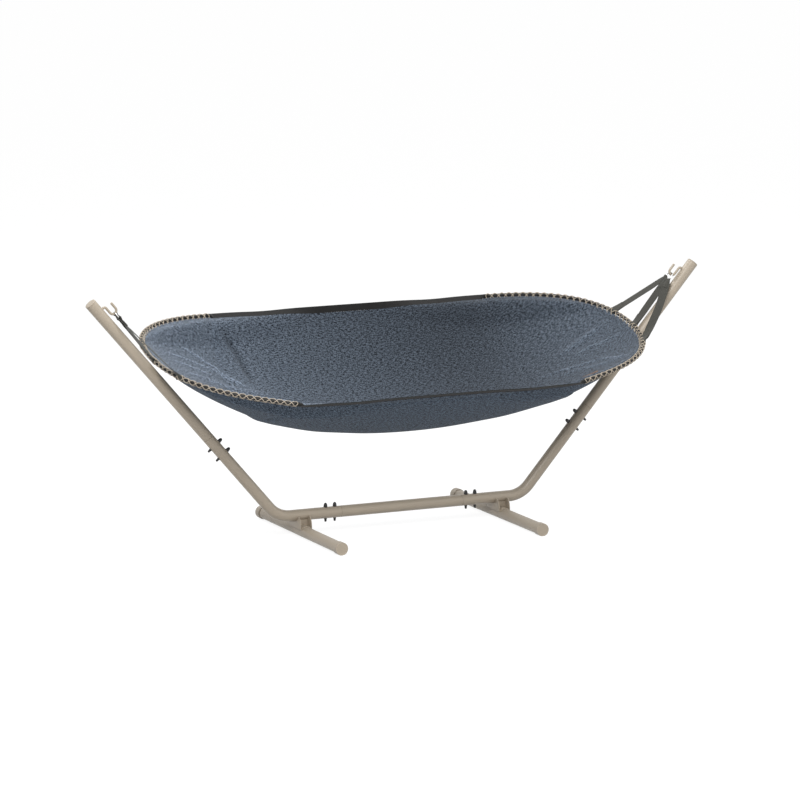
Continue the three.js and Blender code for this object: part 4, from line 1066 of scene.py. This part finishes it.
def rim_share_at(place, side):
    """Share along the rim at which it passes a given Y."""
    shares = np.linspace(-1, 1, 4001)
    return float(np.interp(place, rim(shares, side)[0][:, 1], shares))


def rim_tube(ending, side):
    path = rim(np.linspace(-1, 1, 181), side)[0]
    skin = Skin()
    skin.tube(path, (0, 0, 1), RIM_TUBE_R, RIM_TUBE_R - RIM_WALL, RIM_TUBE_EASE, BED, 40)
    make(f"rim_{ending}", skin, RIM_BLACK, "bed", [f"rim_tube_{ending}"])


def lacing(ending, side):
    """Two cords, each wound to the rim's end and back, so that they cross over and under all round it."""
    reach = 1 - LACE_MARGIN / QUARTER_LENGTH
    count = 2 * LACE_TURNS * LACE_STEPS
    turned = np.arange(count) / LACE_STEPS
    to_tip = np.minimum(turned % LACE_TURNS, LACE_TURNS - turned % LACE_TURNS)
    near_tip = to_tip < LACE_TIP_TURN
    rounding = np.where(near_tip, (LACE_TIP_TURN - to_tip) ** 2 / (2 * LACE_TIP_TURN), 0)
    is_out = turned < LACE_TURNS
    progress = np.where(is_out, turned, 2 * LACE_TURNS - turned) / LACE_TURNS
    progress = progress + np.where(progress < 0.5, 1, -1) * rounding / LACE_TURNS
    share = reach * (2 * progress - 1)
    way = np.clip(to_tip / LACE_TIP_TURN, 0, 1) * np.where(is_out, 1, -1)
    at, _, inward, up = rim(share, side)
    lift = np.zeros(count)
    for _, place in STRAP_PLACES:
        gap = np.abs(share - rim_share_at(place, side)) * QUARTER_LENGTH
        lift = np.maximum(lift, smooth((STRAP_WIDTH / 2 + LACE_LIFT_REACH - gap) / LACE_LIFT_EASE))
    skin = Skin()
    for start in (0, math.pi):
        around = start + turned * 2 * math.pi
        angle = around + LACE_LEAN_MIDDLE + LACE_LEAN_END * share
        radius = LACE_R + LACE_CROSSING * (1 + way * np.cos(2 * around)) + STRAP_THICKNESS * lift
        radius = radius + LACE_BITE * np.maximum(np.cos(angle + EDGE_DOWN), 0) ** 3
        out = circled(inward, up, angle)
        path = at + out * radius[:, None]
        ahead = unit(np.roll(path, -1, axis=0) - np.roll(path, 1, axis=0))
        radial = square_to(ahead, out)
        ring = circled(radial[:, None], np.cross(ahead, radial)[:, None], turns(LACE_SIDES))
        maps = np.zeros((count + 1, LACE_SIDES + 1, 2))
        maps[..., 0] = distances(np.concatenate([path, path[:1]]))[:, None]
        maps[..., 1] = np.arange(LACE_SIDES + 1) / LACE_SIDES
        skin.add(moved(BED, path[:, None] + ring * CORD_R), True, True, maps)
    make(f"laced_cord_{ending}", skin, CORD, "bed", [f"lacing_{ending}"])


# Side bands

def band_flat(x, to_back):
    """Middle of the flat band at x, the way from its outer to its inner edge, and its face's way out."""
    if to_back > 0:
        full, least, flat, turn = BACK_BAND_ROLL, BACK_BAND_END_ROLL, BACK_BAND_FLAT, BACK_BAND_TURN
    else:
        full, least, flat, turn = FRONT_BAND_ROLL, FRONT_BAND_END_ROLL, FRONT_BAND_FLAT, FRONT_BAND_TURN
    roll = least + (full - least) * smooth((flat - np.abs(x) / RIM_END_X) / turn)
    across = np.stack([np.zeros(x.shape), -to_back * np.cos(roll), -np.sin(roll)], axis=-1)
    dip = BAND_DIP * np.exp(-((np.abs(x) - BAND_DIP_X) / BAND_DIP_WIDTH) ** 2)
    outward = np.full(x.shape, to_back * (RIM_HALF_WIDTH + BAND_WIDTH / 2))
    outer = np.stack([x, outward, BAND_RISE - RIM_DROP - dip], -1)
    return outer + across * BAND_WIDTH / 2, across


def band_stations(to_back):
    """Stations of a side band, left to right: its middle, its way across and how far it is a sleeve."""
    x = np.linspace(-RIM_END_X, RIM_END_X, 161)[1:-1]
    middle, across = band_flat(x, to_back)
    closed = smooth((np.abs(x) - (RIM_END_X - BAND_SPREAD)) / (BAND_SPREAD - BAND_ROUND_LENGTH))
    axis = np.stack([x, np.full(x.shape, to_back * RIM_HALF_WIDTH), np.full(x.shape, -RIM_DROP)], axis=-1)
    middle = middle + (axis - middle) * closed[:, None]
    shares = to_back * (1 - np.linspace(BAND_SLEEVE, 0, BAND_SLEEVE_STEPS) / QUARTER_LENGTH)
    left, right = rim(shares, -1), rim(shares, 1)
    middle = np.concatenate([left[0], middle, right[0][::-1]])
    across = np.concatenate([left[2], across, right[2][::-1]])
    closed = np.pad(closed, BAND_SLEEVE_STEPS, constant_values=1)
    return middle, unit(across), closed


def side_band(where, to_back):
    """A webbing band between the rims' ends, sewn round them as a sleeve at both ends."""
    middle, across, closed = band_stations(to_back)
    ahead = unit(np.gradient(middle, axis=0))
    across = square_to(ahead, across)
    out = np.cross(ahead, across) * to_back
    out = np.where(out[:, 2:] < 0, -out, out)
    cos, sin = np.cos(turns(BAND_SIDES)), np.sin(turns(BAND_SIDES))
    closed = closed[:, None]
    wide = BAND_WIDTH / 2 * (1 - closed) + BAND_SLEEVE_R * closed
    thick = WEBBING / 2 * (1 - closed) + BAND_SLEEVE_R * closed
    width = wide * np.sign(cos) * np.abs(cos) ** (0.55 + 0.45 * closed)
    depth = thick * np.sign(sin) * np.abs(sin) ** (0.3 + 0.7 * closed)
    grid = middle[:, None] + across[:, None] * width[..., None] + out[:, None] * depth[..., None]
    maps = np.zeros((len(middle), BAND_SIDES + 1, 2))
    maps[..., 0] = distances(middle)[:, None]
    maps[..., 1] = np.concatenate([cos, cos[:1]]) * BAND_WIDTH / 2
    skin = Skin()
    skin.add(moved(BED, grid), False, True, maps)
    for end in (0, -1):
        inner = middle[end] + (grid[end] - middle[end]) * (RIM_TUBE_R + 0.2 * MM) / BAND_SLEEVE_R
        skin.add(moved(BED, np.stack([grid[end], inner])), False, True)
    make(f"side_webbing_{where}", skin, BAND_WEBBING, "bed", [f"side_band_{where}"])
    flat = closed[:, 0] < 0.4
    seams = Skin()
    for edge in (-1, 1):
        line = middle + across * edge * (BAND_WIDTH / 2 - BAND_SEAM_INSET)
        for face in (-1, 1):
            seams.stitches((line + out * face * WEBBING * 0.5)[flat], (out * face)[flat], BED)
    make(f"side_stitching_{where}", seams, DARK_THREAD, "bed")


# Rings and straps

def ring_frame(side):
    """Middle of a ring, the way that the straps pull, its width and its axis."""
    pivot = np.array([side * PIVOT_X, 0, 0])
    pull = unit(np.array([side * RIM_TIP_X, 0, RIM_TIP_RISE - RIM_DROP]) - pivot)
    width = np.array([0, 1.0, 0])
    centre = pivot + pull * (RING_R - (HOOK_ROD_R + RING_WIRE_R + FIT))
    return centre, pull, width, unit(np.cross(pull, width))


def ring(ending, side):
    """A round wire ring, with its weld at the top in the hook."""
    centre, pull, width, axis = ring_frame(side)
    turn = turns(96)
    bead = 1 + WELD_HEIGHT * np.exp(-((turn - math.pi) / WELD_WIDTH) ** 2)
    out = circled(pull, width, turn)
    wire = circled(out[:, None], axis, turns(24))
    grid = centre + out[:, None] * RING_R + wire * (RING_WIRE_R * bead)[:, None, None]
    skin = Skin()
    skin.add(moved(BED, grid), True, True)
    make(f"steel_ring_{ending}", skin, BRIGHT, "bed", [f"hanging_ring_{ending}"])


def half_turn(centre, ahead, over, radius):
    return centre + circled(ahead, over, np.linspace(-math.pi / 2, math.pi / 2, 14)) * radius


def strap(ending, side, number, seams):
    """A webbing strap sewn round the ring at its top and round the rim under the lacing at its foot."""
    where, place = STRAP_PLACES[number]
    centre, pull, width, axis = ring_frame(side)
    fan = (number - 1) * STRAP_FAN
    outward = pull * math.cos(fan) + width * math.sin(fan)
    along = width * math.cos(fan) - pull * math.sin(fan)
    wire = centre + outward * RING_R
    at, ahead, _, _ = (value[0] for value in rim([rim_share_at(place, side)], side))
    rim_along = ahead if ahead @ along > 0 else -ahead
    way = at - wire
    length = np.linalg.norm(way)
    down = way / length
    to_rim = square_to(rim_along, down)
    rim_over = unit(np.cross(to_rim, rim_along)) * side
    ring_over = unit(np.cross(outward, along)) * side
    ring_turn = RING_WIRE_R + FIT + STRAP_THICKNESS / 2 + STRAP_LAYER * number
    rim_turn = RIM_TUBE_R + FIT + STRAP_THICKNESS / 2

    def run(start, end, count, layer):
        """One layer's points between shares of the way, over (1) or under (-1) the line from ring to rim."""
        share = np.linspace(start, end, count)[:, None]
        near_ring = np.exp(-share * length / STRAP_EASE_AT_RING)
        near_rim = np.exp(-(1 - share) * length / STRAP_EASE_AT_RIM)
        over = unit(ring_over * (1 - share) + rim_over * share)
        off = STRAP_APART + (ring_turn - STRAP_APART) * near_ring + (rim_turn - STRAP_APART) * near_rim
        return wire + down * share * length + over * off * layer

    tail = STRAP_TAIL / length
    path = spaced(np.concatenate([
        run(tail * 0.8, 0.02, 14, -1),
        half_turn(wire, -outward, ring_over, ring_turn),
        run(0.02, 0.98, 60, 1),
        half_turn(at, to_rim, rim_over, rim_turn)[::-1],
        run(0.98, 1 - tail, 16, -1),
    ]), 0.2 * MM)
    share = np.clip((path - wire) @ down / length, 0, 1)[:, None]
    if (where, ending) == ("front", "right"):
        path = path - unit(np.cross(axis, down)) * STRAP_BOW * np.sin(math.pi * share) ** 2
    near_rim = smooth((share * length - (length - STRAP_ROOM)) / STRAP_ROOM)
    twist = STRAP_TWISTS.get((where, ending), 0) * smooth((1 - share) / STRAP_TWIST_END)
    flat = np.cross(axis, down)
    flat = flat if flat @ along > 0 else -flat
    flat = flat * np.cos(twist) + np.cross(down, flat) * np.sin(twist)
    near_ring = smooth(share * length / STRAP_ROOM)
    across = along * (1 - near_ring) + flat * near_ring
    across = unit(across * (1 - near_rim) + rim_along * near_rim)
    opening = smooth(share[:, 0] * length / STRAP_OPENING)
    wide = STRAP_RING_WIDTH + (STRAP_WIDTH - STRAP_RING_WIDTH) * opening
    skin = Skin()
    skin.strip(path, across, wide, STRAP_THICKNESS, BED, STRAP_CUP * (1 - opening))
    make(f"sewn_strap_{where}_{ending}", skin, STRAP_WEBBING, "bed", [f"strap_{where}_{ending}"])
    near, far = 1 - tail * 0.95, 1 - tail * 0.4
    line = run(near, far, 12, 1)
    over = np.broadcast_to(unit(ring_over * (1 - near) + rim_over * near), line.shape)
    sideways = unit(along * (1 - near) + rim_along * near)
    for edge in (-STRAP_SEAM_AT, STRAP_SEAM_AT):
        seam = line + sideways * edge * STRAP_WIDTH + over * STRAP_THICKNESS / 2
        seams.stitches(seam, over, BED, STRAP_STITCH_PITCH, STRAP_STITCH)


# Fabric

def resampled(path, shares):
    """Points at given shares of a path's length."""
    along = distances(path)
    return looked_up(shares * along[-1], along, path)


def rim_edge(shares, side):
    """Edge of the fabric under the rim's inner side."""
    at, _, inward, up = rim(shares, side)
    return at + inward * EDGE_REACH * math.cos(EDGE_DOWN) - up * EDGE_REACH * math.sin(EDGE_DOWN)


def band_edge(to_back):
    """Edge of the fabric along a side band, on the band's inner edge."""
    middle, across, closed = band_stations(to_back)
    half = BAND_WIDTH / 2 * (1 - closed) + EDGE_REACH * math.cos(EDGE_DOWN) * closed
    edge = middle + across * (half + 0.2 * MM)[:, None]
    edge[:, 2] -= EDGE_REACH * math.sin(EDGE_DOWN) * closed
    return edge


def long_edge(to_back):
    """Left to right, from corner to corner."""
    reach = 1 - BAND_SLEEVE / QUARTER_LENGTH
    shares = to_back * np.linspace(CORNER_SHARE, reach, 120)[:-1]
    return np.concatenate([rim_edge(shares, -1), band_edge(to_back), rim_edge(shares, 1)[::-1]])


def short_edge(side):
    """Front to back, round the tip of one end."""
    return rim_edge(np.linspace(-CORNER_SHARE, CORNER_SHARE, 161), side)


HALF_LENGTH = FABRIC_FLAT[1] / 2
HALF_WIDTH = FABRIC_FLAT[0] / 2
FRONT_EDGE, BACK_EDGE = long_edge(-1), long_edge(1)
LEFT_EDGE, RIGHT_EDGE = short_edge(-1), short_edge(1)


def fold_at(u, v, points, half_width):
    """Strength of a fold: 1 on its line, and 0 away from it and at its ends."""
    line = np.array(points) * (HALF_LENGTH, HALF_WIDTH)
    lengths = distances(line)
    x, y = np.broadcast_arrays(u * HALF_LENGTH, v * HALF_WIDTH)
    off = np.full(x.shape, np.inf)
    along = np.zeros(x.shape)
    for start, end, done in zip(line, line[1:], lengths):
        way = end - start
        share = np.clip(((x - start[0]) * way[0] + (y - start[1]) * way[1]) / (way @ way), 0, 1)
        gap = np.hypot(x - start[0] - share * way[0], y - start[1] - share * way[1])
        along = np.where(gap < off, (done + share * np.linalg.norm(way)) / lengths[-1], along)
        off = np.minimum(off, gap)
    return np.exp(-(off / half_width) ** 2) * smooth(along / CREASE_FADE) * smooth((1 - along) / CREASE_FADE)


def slack_at(u, v):
    """Share of the sag that a place takes: none in the corners, which are pulled flat."""
    lengthwise = (np.abs(u) - TAUT_FROM_U) / (1 - TAUT_FROM_U)
    widthwise = (np.abs(v) - TAUT_FROM_V) / (1 - TAUT_FROM_V)
    return smooth((1 - lengthwise - widthwise) / TAUT_EASE)


def cloth(a, b):
    """The hanging cloth at shares a of its length and b of its width: a blend of its edges, let down."""
    front, back = resampled(FRONT_EDGE, a), resampled(BACK_EDGE, a)
    left, right = resampled(LEFT_EDGE, b), resampled(RIGHT_EDGE, b)
    a, b = a[:, None, None], b[None, :, None]
    corners = blended(LEFT_EDGE[0], RIGHT_EDGE[0], LEFT_EDGE[-1], RIGHT_EDGE[-1], a, b)
    points = front[:, None] * (1 - b) + back[:, None] * b + left[None] * (1 - a) + right[None] * a - corners
    u, v = 2 * a[..., 0] - 1, 2 * b[..., 0] - 1
    lengthwise = 1 - np.abs(u) ** SAG_LENGTH_POWER
    widthwise = (1 - np.abs(v) ** SAG_WIDTH_POWER) ** SAG_WIDTH_ROUND
    points[..., 2] -= SAG * lengthwise * widthwise * slack_at(u, v)
    for line, half_width, height, _ in CREASES:
        points[..., 2] += height * fold_at(u, v, line, half_width)
    return points


def edge_fold(across):
    """Strength of the soft fold just inside the front edge."""
    return np.exp(-((across - FOLD_IN) / FOLD_HALF_WIDTH) ** 2)


def crowded(count):
    """Shares from 0 to 1, closer together near both ends."""
    share = np.linspace(0, 1, count + 1)
    return share - EDGE_CROWDING * np.sin(2 * math.pi * share) / (2 * math.pi)


def grid_distances(points, axis):
    """Distance of each point of a grid from its first row (axis 0) or its first column (axis 1)."""
    steps = np.linalg.norm(np.diff(points, axis=axis), axis=2)
    return np.insert(np.cumsum(steps, axis=axis), 0, 0, axis=axis)


def faces_out(surface):
    """The way out of a surface at each of its points."""
    return unit(np.cross(np.gradient(surface, axis=0), np.gradient(surface, axis=1)))


def sheet_skin(skin, middle, half, maps):
    """A closed sheet on both sides of its middle surface, to half its thickness from it."""
    normal = faces_out(middle)
    offset = normal * np.broadcast_to(half, middle.shape[:2])[..., None]
    top, bottom = middle + offset, middle - offset
    ring_maps = np.concatenate([maps, maps[:, ::-1], maps[:, :1]], axis=1)
    skin.add(moved(BED, np.concatenate([top, bottom[:, ::-1]], axis=1)), False, True, ring_maps)
    for end in (0, -1):
        edge_maps = np.stack([maps[end], maps[end]])
        skin.add(moved(BED, np.stack([top[end], bottom[end]])), False, False, edge_maps)
    return top, normal


def fabric():
    """The sheet with its fold, its hem all round and the seam in the hem."""
    a, b = crowded(FABRIC_COLUMNS), crowded(FABRIC_ROWS)
    middle_column, middle_row = FABRIC_COLUMNS // 2, FABRIC_ROWS // 2
    middle = cloth(a, b)
    front_fold = edge_fold(grid_distances(middle, 1))
    middle[..., 2] += FOLD_HEIGHT * front_fold
    along, across = grid_distances(middle, 0), grid_distances(middle, 1)
    to_edge = np.minimum(np.minimum(along, along[-1] - along), np.minimum(across, across[:, -1:] - across))
    hem = smooth((HEM - to_edge) / HEM_EASE + 0.5)
    half = (FABRIC + (HEM_FABRIC - FABRIC) * hem) / 2
    maps = np.stack([along - along[middle_column], across - across[:, middle_row][:, None]], axis=-1)
    skin = Skin()
    top, normal = sheet_skin(skin, middle, half, maps)
    u, v = 2 * a[:, None] - 1, 2 * b[None] - 1
    # Painted light along the fold lines: a painted highlight on the front fold and on the crease ridges,
    # painted shade in the one trough
    paler = FRONT_FOLD_HIGHLIGHT * front_fold + sum(tone * fold_at(u, v, line, wide) for line, wide, _, tone in CREASES)
    both_faces = np.concatenate([paler, paler[:, ::-1]], axis=1)
    fold_painted_light = np.concatenate([both_faces.ravel(), np.tile(paler[0], 2), np.tile(paler[-1], 2)])
    upper_face = np.tile(np.repeat([1.0, 0.0], len(b)), len(a) + 2)
    values = (("fold_painted_light", fold_painted_light), ("upper_face", upper_face))
    piece = make("woven_fabric", skin, CLOTH, "bed", ["fabric"], 60, values)

    seams = Skin()
    inset = HEM - HEM_SEAM_INSET
    i = round(np.interp(inset, along[:, middle_row], np.arange(len(a))))
    k = round(np.interp(inset, across[middle_column], np.arange(len(b))))
    for line in ((slice(i, -i), k), (slice(i, -i), -1 - k), (i, slice(k, -k)), (-1 - i, slice(k, -k))):
        seams.stitches(top[line], normal[line], BED)
    return piece, make("fabric_stitching", seams, BLUE_THREAD, "bed")


def patch_places(places):
    """A fine grid over a span of places: its shares, and each place's row and part of a row on it."""
    shares = (places + 1) / 2
    last = LABEL_PATCH_STEPS - 1
    fine = np.linspace(shares.min(), shares.max(), LABEL_PATCH_STEPS)
    at = (shares - fine[0]) / (fine[-1] - fine[0]) * last
    row = np.clip(at.astype(int), 0, last - 1)
    return fine, row, (at - row)[..., None]


def label():
    """A blank patch of leather sewn on the fabric near the right front."""
    across = np.linspace(-1, 1, LABEL_STEPS)
    x, y = np.meshgrid(across, across, indexing="ij")
    x, y = x * np.sqrt(1 - LABEL_ROUNDING * y ** 4), y * np.sqrt(1 - LABEL_ROUNDING * x ** 4)
    x, y = x * LABEL_HALF_LENGTH, y * LABEL_HALF_WIDTH
    cos, sin = math.cos(LABEL_TURN), math.sin(LABEL_TURN)
    fine_a, i, s = patch_places(LABEL_PLACE[0] + (x * cos - y * sin) / HALF_LENGTH)
    fine_b, k, t = patch_places(LABEL_PLACE[1] + (x * sin + y * cos) / HALF_WIDTH)
    patch = cloth(fine_a, fine_b)
    middle = blended(patch[i, k], patch[i + 1, k], patch[i, k + 1], patch[i + 1, k + 1], s, t)
    middle = middle + faces_out(middle) * ((HEM_FABRIC + LABEL_THICKNESS) / 2 + 0.1 * MM)
    skin = Skin()
    maps = np.zeros((LABEL_STEPS, LABEL_STEPS, 2))
    top, normal = sheet_skin(skin, middle, LABEL_THICKNESS / 2, maps)
    piece = make("label_patch", skin, LEATHER, "bed", ["leather_label"])
    seams = Skin()
    for line in ((2, slice(2, -2)), (-3, slice(2, -2)), (slice(2, -2), 2), (slice(2, -2), -3)):
        seams.stitches(top[line], normal[line], BED, LABEL_STITCH_PITCH, LABEL_STITCH)
    return piece, make("label_stitching", seams, TAN_THREAD, "bed")


# Surroundings

def floor():
    """A pale floor that shows white round the object's shadow."""
    mesh = bpy.data.meshes.new("floor")
    ways = ((-1, -1), (1, -1), (1, 1), (-1, 1))
    corners = [(x * FLOOR_REACH, y * FLOOR_REACH, -FLOOR_DEPTH) for x, y in ways]
    mesh.from_pydata(corners, [], [(0, 1, 2, 3)])
    piece = bpy.data.objects.new("floor", mesh)
    bpy.context.scene.collection.objects.link(piece)
    finish = Finish("pale_floor", Roughness=1.0, Specular_IOR_Level=0.0, Base_Color=grey(FLOOR_PALE))
    shade = finish.node("BsdfDiffuse", {"Color": grey(FLOOR_SHADE)})
    glow = finish.node("Emission", {"Color": grey(1), "Strength": FLOOR_GLOW})
    shown = finish.node("AddShader", {0: shade, 1: glow})
    finish.by_ray(finish.shader.outputs[0], shown, finish.nodes["Material Output"])
    mesh.materials.append(finish.material)


def world():
    """An even pale room, white where it is seen, also in reflections."""
    place = bpy.data.worlds.new("studio")
    bpy.context.scene.world = place
    place.use_nodes = True
    graph = Graph(place.node_tree)
    graph.nodes.clear()
    room = graph.node("Background", {"Color": grey(1), "Strength": ROOM_LEVEL})
    white = graph.node("Background", {"Color": grey(1), "Strength": 1.0})
    graph.by_ray(room, white, graph.nodes.new("ShaderNodeOutputWorld"))


def lamp(name, size, power, place, target):
    """A square soft light that points at a target."""
    data = bpy.data.lights.new(name, "AREA")
    data.size = size
    data.energy = power
    light = bpy.data.objects.new(name, data)
    light.location = place
    light.rotation_euler = (Vector(target) - Vector(place)).to_track_quat("-Z", "Y").to_euler()
    bpy.context.scene.collection.objects.link(light)


def camera():
    """The view of the photograph."""
    data = bpy.data.cameras.new("camera")
    data.lens = CAMERA_LENS
    data.clip_end = 200
    cos, sin = math.cos(CAMERA_AZIMUTH), math.sin(CAMERA_AZIMUTH)
    level = math.cos(CAMERA_ELEVATION)
    back = np.array([sin * level, -cos * level, math.sin(CAMERA_ELEVATION)])
    sideways, height = CAMERA_TARGET
    target = np.array([sideways * cos, sideways * sin + AXIS_Y, height + AXIS_Z])
    view = bpy.data.objects.new("camera", data)
    view.location = target + back * CAMERA_DISTANCE
    view.rotation_euler = (math.pi / 2 - CAMERA_ELEVATION, 0, CAMERA_AZIMUTH)
    bpy.context.scene.collection.objects.link(view)
    bpy.context.scene.camera = view


camera()
floor()
world()
lamp("key_softbox", 3.5, KEY_POWER, (-2.2, -4.2, 5.0), (0, 0, 0.6))
lamp("fill_softbox", 4.0, FILL_POWER, (4.5, -3.0, 3.0), (0, 0, 0.6))
lamp("top_softbox", 3.0, TOP_POWER, (-1.0, 2.4, 5.5), (0, 0, 0.3))
bpy.context.scene.view_settings.view_transform = "Standard"

floor_tube()
for ending, side in ENDS:
    bent_tube(ending, side)
    pole(ending, side)
    hook(ending, side)
    joint_caps(ending, side)
    foot(ending, side)
    bracket(ending, side)
    foot_bolt(ending, side)
    rim_tube(ending, side)
    lacing(ending, side)
    ring(ending, side)
    strap_seams = Skin()
    for number in range(3):
        strap(ending, side, number, strap_seams)
    make(f"strap_stitching_{ending}", strap_seams, DARK_THREAD, "bed")
side_band("back", 1)
side_band("front", -1)
cloth_piece, cloth_stitching = fabric()
label_piece, label_stitching = label()

# The CAD nodes that still show are the bolts inside the joints
for name, node in frame["nodes"].items():
    if name.startswith("joint_bolt_"):
        node.data.materials.clear()
        node.data.materials.append(ZINC)

bpy.context.view_layer.update()
